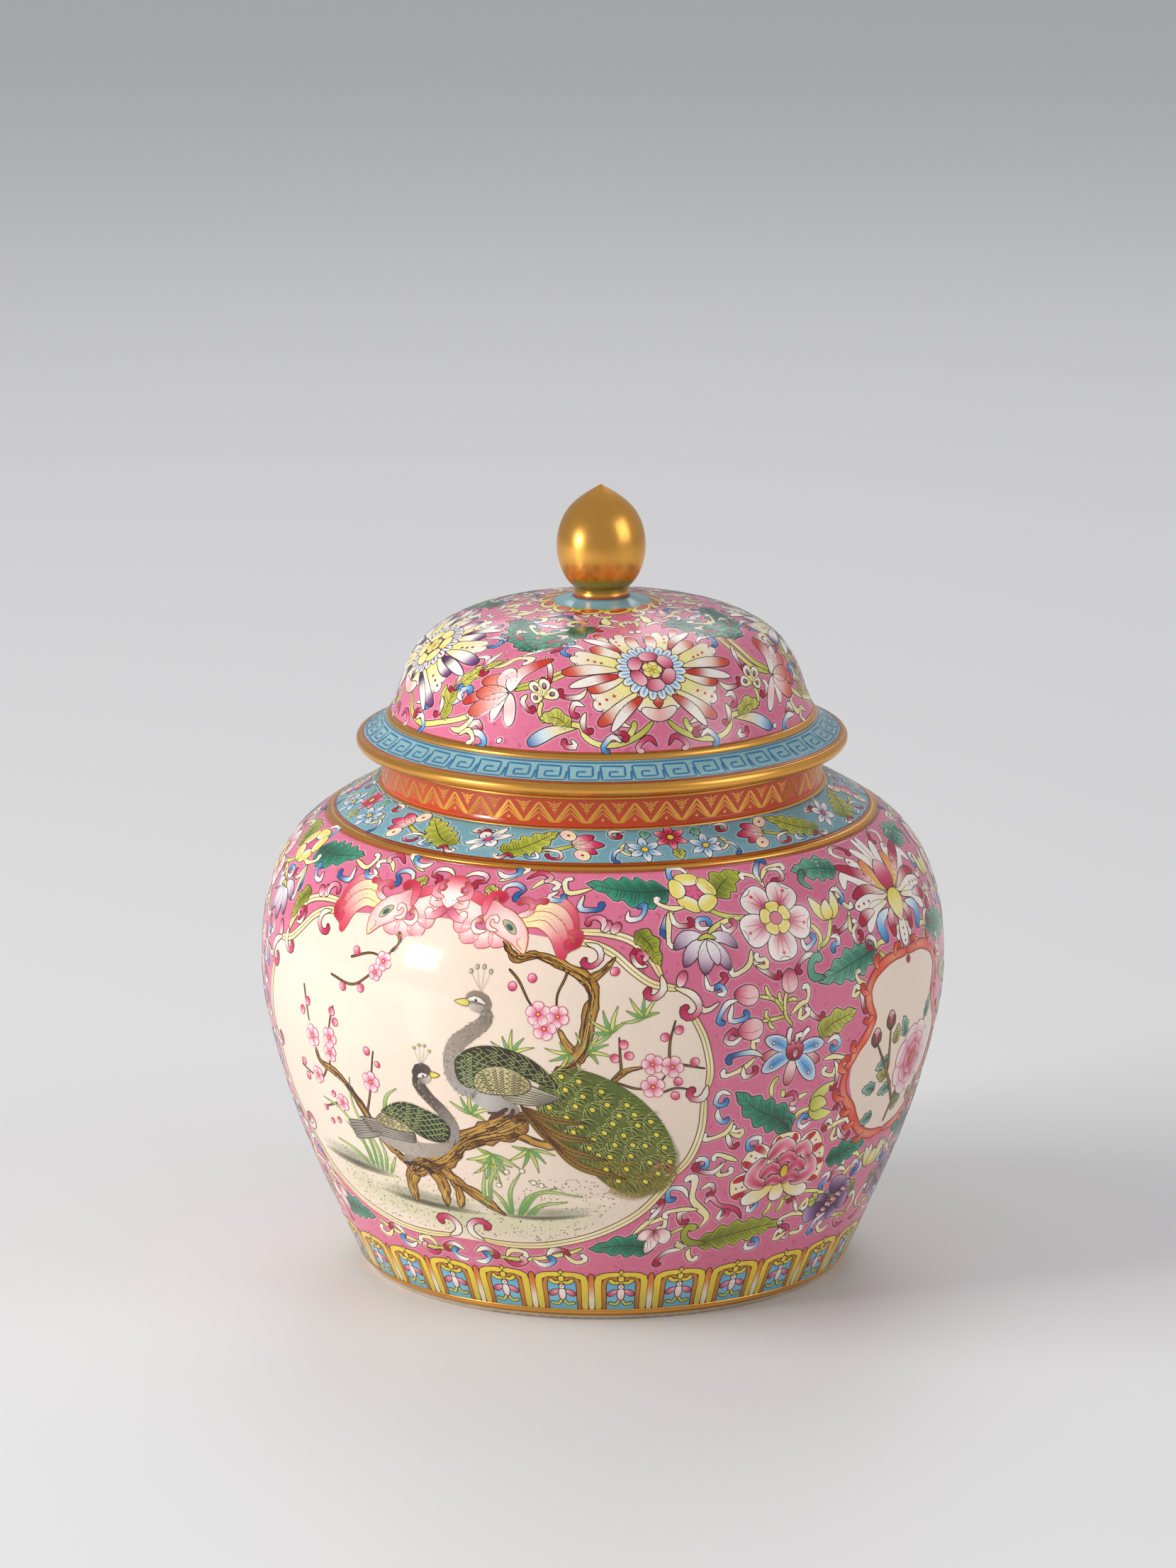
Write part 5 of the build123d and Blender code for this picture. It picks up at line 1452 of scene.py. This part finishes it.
biscuit = glaze("fired_clay", "c9b79c", pale=1.08, deep=0.84, cloud=90, rough=(0.6, 0.85), grain=1500,
    bump=0.35)
finish_node("foot_ring", biscuit)
foot_wall = Wall("foot_ring", spacing=0.6, straight=True)
film("foot_gilt_line", foot_wall, 2.2, 4.4, gilt, "jar", lift=0.06)
film("lappets_gilt_line", body_wall, 0.1, 0.9, gilt, "jar", lift=0.34)

# --- Lid -------------------------------------------------------------------------------------
# The lid is a pressed flange and a thrown dome. The flange is turquoise with a blue key-fret and a
# rolled gilt rim, and the dome is pink with four great daisies. Its knob is burnished gold.

for node in ("lid_flange", "lid_dome"):
    finish_node(node, porcelain)
flange_wall = Wall("lid_flange", spacing=0.5, straight=True)
dome_wall = Wall("lid_dome")
flange_ground = glaze("flange_ground", "8cb2b4", pale=1.05, deep=0.93, cloud=50, rough=(0.10, 0.22),
    grain=800, bump=0.08)
film("flange_turquoise_ground", flange_wall, 7.8, flange_wall.length, flange_ground, "lid")
film("flange_red_line", flange_wall, 7.0, 8.3, brick, "lid", lift=0.13)
film("flange_gilt_rim", flange_wall, 1.4, 7.5, gilt, "lid", lift=0.16)
deep_blue = glaze("deep_blue", "3f7496", cloud=90, rough=(0.12, 0.24))
film("flange_blue_line", flange_wall, 16.5, 17.1, deep_blue, "lid", lift=0.14)

FRETS, FRET_MIDDLE = 45, 12.0
fret = Painting()
fret_pitch = 2 * math.pi * float(flange_wall.radius(FRET_MIDDLE)) / FRETS
key = [(-4.6, 9.2), (-5.3, 15.6), (2.9, 15.4), (2.9, 11.0), (-2.2, 10.9), (-2.2, 13.2), (0.7, 13.2)]
for k in range(-7, 8):
    for start, end in (*zip(key, key[1:]), (key[0], (4.8, 9.2)), ((4.8, 9.2), (5.0, 13.6))):
        fret.dab([(x + k * fret_pitch, y) for x, y in (start, end)], 0.36, ("2f78a4", "2c6c9a"), VINE, 1,
            line=None)
for third in range(3):
    fret.lay(f"flange_key_fret_{third + 1}", flange_wall, 120 * third, "lid", "turquoise_enamel",
        upright=FRET_MIDDLE)

film("dome_pink_ground", dome_wall, 1.6, 76.0, pink_ground, "lid")
film("dome_red_line", dome_wall, -0.2, 2.9, brick, "lid", lift=0.14)
film("dome_gilt_ring", dome_wall, 0.1, 2.3, gilt, "lid", lift=0.26)
film("dome_sky_cone", dome_wall, 73.4, dome_wall.length - 0.1, sky_ground, "lid",
    lift=0.14)

FLAME = "cc3420"
FLAME_FINGER = (LEMON, CREAM, WHITE, "f7dcc6", "dc5a40", FLAME)
PLUM_FINGER = (LEMON, CREAM, WHITE, WHITE, "8a5a8c", PLUM)
DAISY_MIDDLE = np.array([0, 40.6])


def broad_petal(p, root, end, spread, level):
    """A wide cream petal with three round lobes at its end, each with its own drawn line."""
    root, end = np.array(root), np.array(end)
    along = end - root
    across = np.array([-along[1], along[0]]) / np.hypot(*along) * spread
    for k in (-1, 1, 0):
        p.dab([root, root + 0.6 * along + 0.7 * k * across, end + k * across - 0.1 * abs(k) * along],
            spread * 0.78, (LEMON, CREAM, "fbeedd"), PETAL, level + 0.1 * (k == 0))
    p.dab([root, root + 0.86 * along], spread * 1.42, ("f3dc62", LEMON, CREAM, "fbeedd"), (0.8, 0.45),
        level + 0.9, line=None)


def daisy_half(p, tip, finger):
    """The right half of a great daisy: broad lobed petals between fingers with burnt tips."""
    for root, end, spread in (((3, 46), (6.8, 60.4), 2.9), ((8.6, 42.6), (26, 46), 3.1),
            ((7.4, 36), (21.4, 27.4), 3.3), ((2, 33), (6.6, 26.2), 3.4)):
        broad_petal(p, root, end, spread, 1.0)
    for path, half in (([(1.4, 48), (3.0, 53), (3.4, 58.6)], 1.9), ([(8.6, 46), (13, 50), (18, 51)], 2.6),
            ([(10.4, 41), (20, 41.4), (30, 39.6)], 2.1), ([(9.6, 38), (16, 36), (22.6, 33.4)], 2.4),
            ([(6.4, 32.6), (13, 27), (20.6, 21.8)], 2.1), ([(11, 53.6), (13.6, 60.6)], 1.7)):
        p.dab(path, half, finger, (0.7, 0.42), 2.4)
    for path in ([(8.4, 49.4), (12, 54), (18.6, 57)], [(11.4, 38.6), (19, 37.4), (28.6, 34.4)],
                 [(5, 31), (11.6, 25.6), (16.4, 19.6)]):
        p.dab(path, 1.7, (tip, tip, WHITE, WHITE, WHITE), (0.6, 0.6), 3.0)
    for x, y in ((8.4, 57.6), (8.2, 55.4), (7.8, 53.2), (16, 44.2), (18, 44.8), (20, 45.6), (14.4, 31.4),
            (17, 30.2), (19.4, 28.8)):
        p.dot(x, y, 0.5, tip, 3)


def daisy(p, tip=FLAME, finger=FLAME_FINGER, ray=SKY, heart=(CRIMSON, PINK, BLUSH)):
    """A great daisy: its petals, a ring of white rays, a pink rosette and a yellow eye."""
    for side in (-1, 1):
        p.put(daisy_half, 0, 0, flip=side, tip=tip, finger=finger)
    p.dab([(-6, 26.6), (0, 24.4), (6, 26.6)], 2.1, (WHITE, "f0b0a4", WHITE), EGG, 2.4)
    p.dab([(0, 33.6), (0, 27)], 1.9, (CREAM, "f7dcc6", tip, tip), EGG, 2.8)
    for k in range(20):
        a = math.radians(18 * k + 9)
        out = np.array([math.cos(a), math.sin(a) * 0.95])
        p.dab([DAISY_MIDDLE + out * 6.6, DAISY_MIDDLE + out * 11.8], 1.45, (WHITE, PALE_BLUE, WHITE),
            (0.5, 0.4), 3 + 0.3 * (k % 2))
        p.hair([DAISY_MIDDLE + out * 7, DAISY_MIDDLE + out * 10.8], 0.3, ray, 4.2)
    for k in range(6):
        out = toward(60 * k + 30)
        across = np.array([-out[1], out[0]])
        root = DAISY_MIDDLE + out * 5.4
        p.dab([root - across * 3.2, root + out * 0.6, root + across * 3.2], 2.3, heart, (0.4, 0.4),
            5 + 0.3 * (k % 2))
    for k in range(5):
        p.dab([DAISY_MIDDLE, DAISY_MIDDLE + 3.4 * toward(72 * k)], 1.7, (YELLOW, LEMON), (0.5, 0.4), 6)


def lotus(p):
    """A pink lotus on its stem, with a long leaf behind it, as it stands between two daisies."""
    leaf(p, [(-22.4, 18.6), (-21.4, 28), (-17.4, 36), (-11.6, 43.6)], 4.0, ("a8a62c", "c9c452", "d9d468"),
        9)
    stem(p, [(1, 33), (9, 38), (15, 47), (17.6, 53)], [(1.6, 32), (11, 36.6), (18, 46), (21, 52)],
        half=0.85)
    for path, half, tones in (
            ([(0.6, 31.5), (-1.8, 38), (2.8, 45.4)], 2.9, (WHITE, WHITE, BLUSH, FLAME, FLAME)),
            ([(0, 31.5), (-4.6, 36), (-7.2, 39.8)], 2.9, (WHITE, BLUSH, WHITE)),
            ([(-5, 30), (-11, 28.6), (-15.6, 25.4)], 1.9, (WHITE, BLUSH, FLAME, FLAME)),
            ([(0, 31.5), (-7, 34.6), (-12.6, 34)], 2.7, (WHITE, BLUSH, "e8826c", FLAME)),
            ([(0, 30.6), (-5, 27), (-11.8, 22.4)], 2.9, (WHITE, BLUSH, "e8826c", FLAME)),
            ([(0.2, 30.6), (-1.6, 26), (-1.8, 21.2)], 1.8, (WHITE, WHITE, BLUSH)),
            ([(0.6, 30.8), (3, 26), (5.4, 20)], 2.1, (WHITE, BLUSH, WHITE)),
            ([(-0.6, 31), (-11.8, 29.8)], 2.7, (WHITE, "f2b2a4", "e8826c", FLAME))):
        p.dab(path, half, tones, (0.6, 0.5), 2 + 0.2 * (abs(path[-1][0]) % 3))
    curls(p, ("cream", [(-13, 39), (-10, 41), (-9, 44.4), (-5, 45)]),
        ("red", [(-8.6, 45.4), (-6.4, 48.6), (-3, 51)]),
        ("cream", [(-17.4, 16.6), (-13, 16.4), (-10, 20)]), ("red", [(-10, 17), (-7.6, 20), (-5.4, 19)]),
        ("ice", [(-10, 16), (-5, 16.6), (-1.6, 14.6)]), ("ice", [(-16.4, 26), (-19, 28), (-17, 30.4)]),
        half=1.1)
    p.dot(4, 15, 0.9, WHITE, 2, OUTLINE)


def dome_half(p, trefoil):
    """The right half of what fills the pink round one daisy."""
    leaf(p, [(12, 67), (24, 59.6), (34, 53), (44, 48)], 4.6, DEEP_GREEN, 11)
    if trefoil:
        stem(p, [(2.4, 22.6), (7, 18.6), (14, 15.6), (21, 15.4), (25.4, 18), (26.4, 21.4), (32, 22)],
             [(8.6, 23), (9.4, 20), (13, 16.4)], half=0.95)
        leaf(p, [(30, 20.6), (34, 24), (40, 23.4)], 3.4, ("a8a62c", "c9c452", "d9d468"), 5)
        p.dab([(28, 20.6), (36, 19.4), (45, 14.6)], 2.0, (SPRING, CREAM, PALE_BLUE, BLUE), PETAL, 1.6)
        stem(p, [(38.6, 22), (40, 25.4), (38.6, 29)], half=0.7)
        for tip in ((36.4, 37), (41.6, 35.4), (32.6, 32.6), (42.4, 30)):
            p.dab([(38, 30.4), tip], 2.0, (LEMON, CREAM, WHITE), PETAL, 2)
            p.dab([np.array(tip) * 0.45 + (20.9, 16.7), np.array(tip) * 0.75 + (9.5, 7.6)], 0.6,
                (PLUM, LILAC), EGG, 3)
        curls(p, ("red", [(23, 33.6), (26, 31), (31, 31)]),
            ("blush", [(24.6, 28), (27.6, 29), (29, 26.4)]), ("red", [(43.4, 31), (45.6, 28.6), (44, 26)]),
            ("blush", [(30, 17), (28.6, 14.8), (31.4, 14.4)]))
    else:
        stem(p, [(4, 24), (9, 18), (18, 15.4), (28, 17.6), (38, 21), (46, 27), (50, 31)],
            [(24, 30), (25, 24), (30, 18.6)], half=0.95)
        curls(p, ("ice", [(12, 22), (15, 25), (18, 23)]), ("red", [(24, 36), (28, 34), (28.6, 30)]),
              ("cream", [(38, 14.6), (41, 17), (44, 15)]), ("blush", [(27, 42), (31, 43), (33, 40)]),
              ("ice", [(30, 24), (33, 27), (32, 30)]))
    curls(p, ("ice", [(19.6, 50.6), (22, 53), (26, 52.4), (27.6, 49.4)]),
        ("red", [(34, 46.4), (33.6, 42), (34.6, 37)]), ("red", [(24.4, 26), (25.6, 23), (25.4, 20.4)]),
        ("red", [(10, 21), (14.4, 22.4), (15, 19.4), (12.6, 19)]),
        ("ice", [(13.6, 16), (16.4, 18), (19.6, 15)]), ("rose", [(2, 14.4), (4.4, 17.4), (8, 15)]),
        ("red", [(5, 66), (9, 68.4), (12, 65.6)]), ("ice", [(26, 67), (30, 65), (33, 66.4)]),
        ("cream", [(30, 61), (34, 59), (36, 62)]), ("blue", [(44, 53), (47, 55), (50, 53.6)]),
        ("red", [(38, 59), (42, 58.6), (43, 56)]), ("cream", [(13, 70), (17, 71.4), (20, 69.4)]),
        ("red", [(2, 70), (5, 73), (8, 71.6)]), ("blue", [(12, 74), (15, 72.6), (18, 74)]),
        ("cream", [(1.6, 66), (3, 69), (1, 71)]), ("cream", [(24, 70), (22, 73), (19, 72)]),
        ("red", [(10, 79), (12, 77), (14, 78)]), ("cream", [(3, 78), (5, 76), (8, 77)]),
        ("red", [(20.6, 55.4), (23, 58), (26, 56)]), half=0.95)
    p.dab([(6, 76), (7, 72), (7, 68.6)], 1.7, (WHITE, LEMON, LEMON), PETAL, 2)
    p.dab([(16, 78), (15.4, 74), (14, 71)], 1.7, (WHITE, BLUSH, FLAME), PETAL, 2)
    p.dot(1.2, 62, 1.0, WHITE, 2, OUTLINE)


DOME_START = -9.95
purple_one = {"tip": PLUM, "finger": PLUM_FINGER, "ray": CRIMSON, "heart": ("e8d64a", LEMON, CREAM)}
for quarter in range(4):
    crimson_one = quarter % 2 == 0
    quarter_flowers = Painting(GLOW)
    for side in (-1, 1):
        quarter_flowers.put(dome_half, 0, DOME_START, flip=side, trefoil=crimson_one)
    quarter_flowers.put(lotus, 50.5, DOME_START, flip=-1 if crimson_one else 1)
    quarter_flowers.put(daisy, 0, DOME_START, **({} if crimson_one else purple_one))
    quarter_flowers.lay(f"dome_flowers_{quarter + 1}", dome_wall, 45 + 90 * quarter, "lid", "pink_enamel")

SCALLOPS = 12
cone_border = Painting()
SCALLOP_MIDDLE = 72
scallop_pitch = 2 * math.pi * float(dome_wall.radius(SCALLOP_MIDDLE)) / SCALLOPS
for k in range(SCALLOPS):
    x = (k - SCALLOPS / 2 + 0.5) * scallop_pitch
    cone_border.dab([(x, 75), (x, 69.4)], scallop_pitch * 0.52, ("d8b430", YELLOW, LEMON), (0.3, 0.42), 1)
    cone_border.dab([(x, 74.4), (x, 71)], scallop_pitch * 0.3, (CORAL, BRICK), (0.4, 0.5), 2)
cone_border.lay("dome_cone_border", dome_wall, 0, "lid", "turquoise_enamel")

finish_node("finial", gilt)
finial_wall = Wall("finial", spacing=2.0)
film("finial_red_line", finial_wall, 0.0, 0.9, brick, "lid", lift=0.10, around=96)
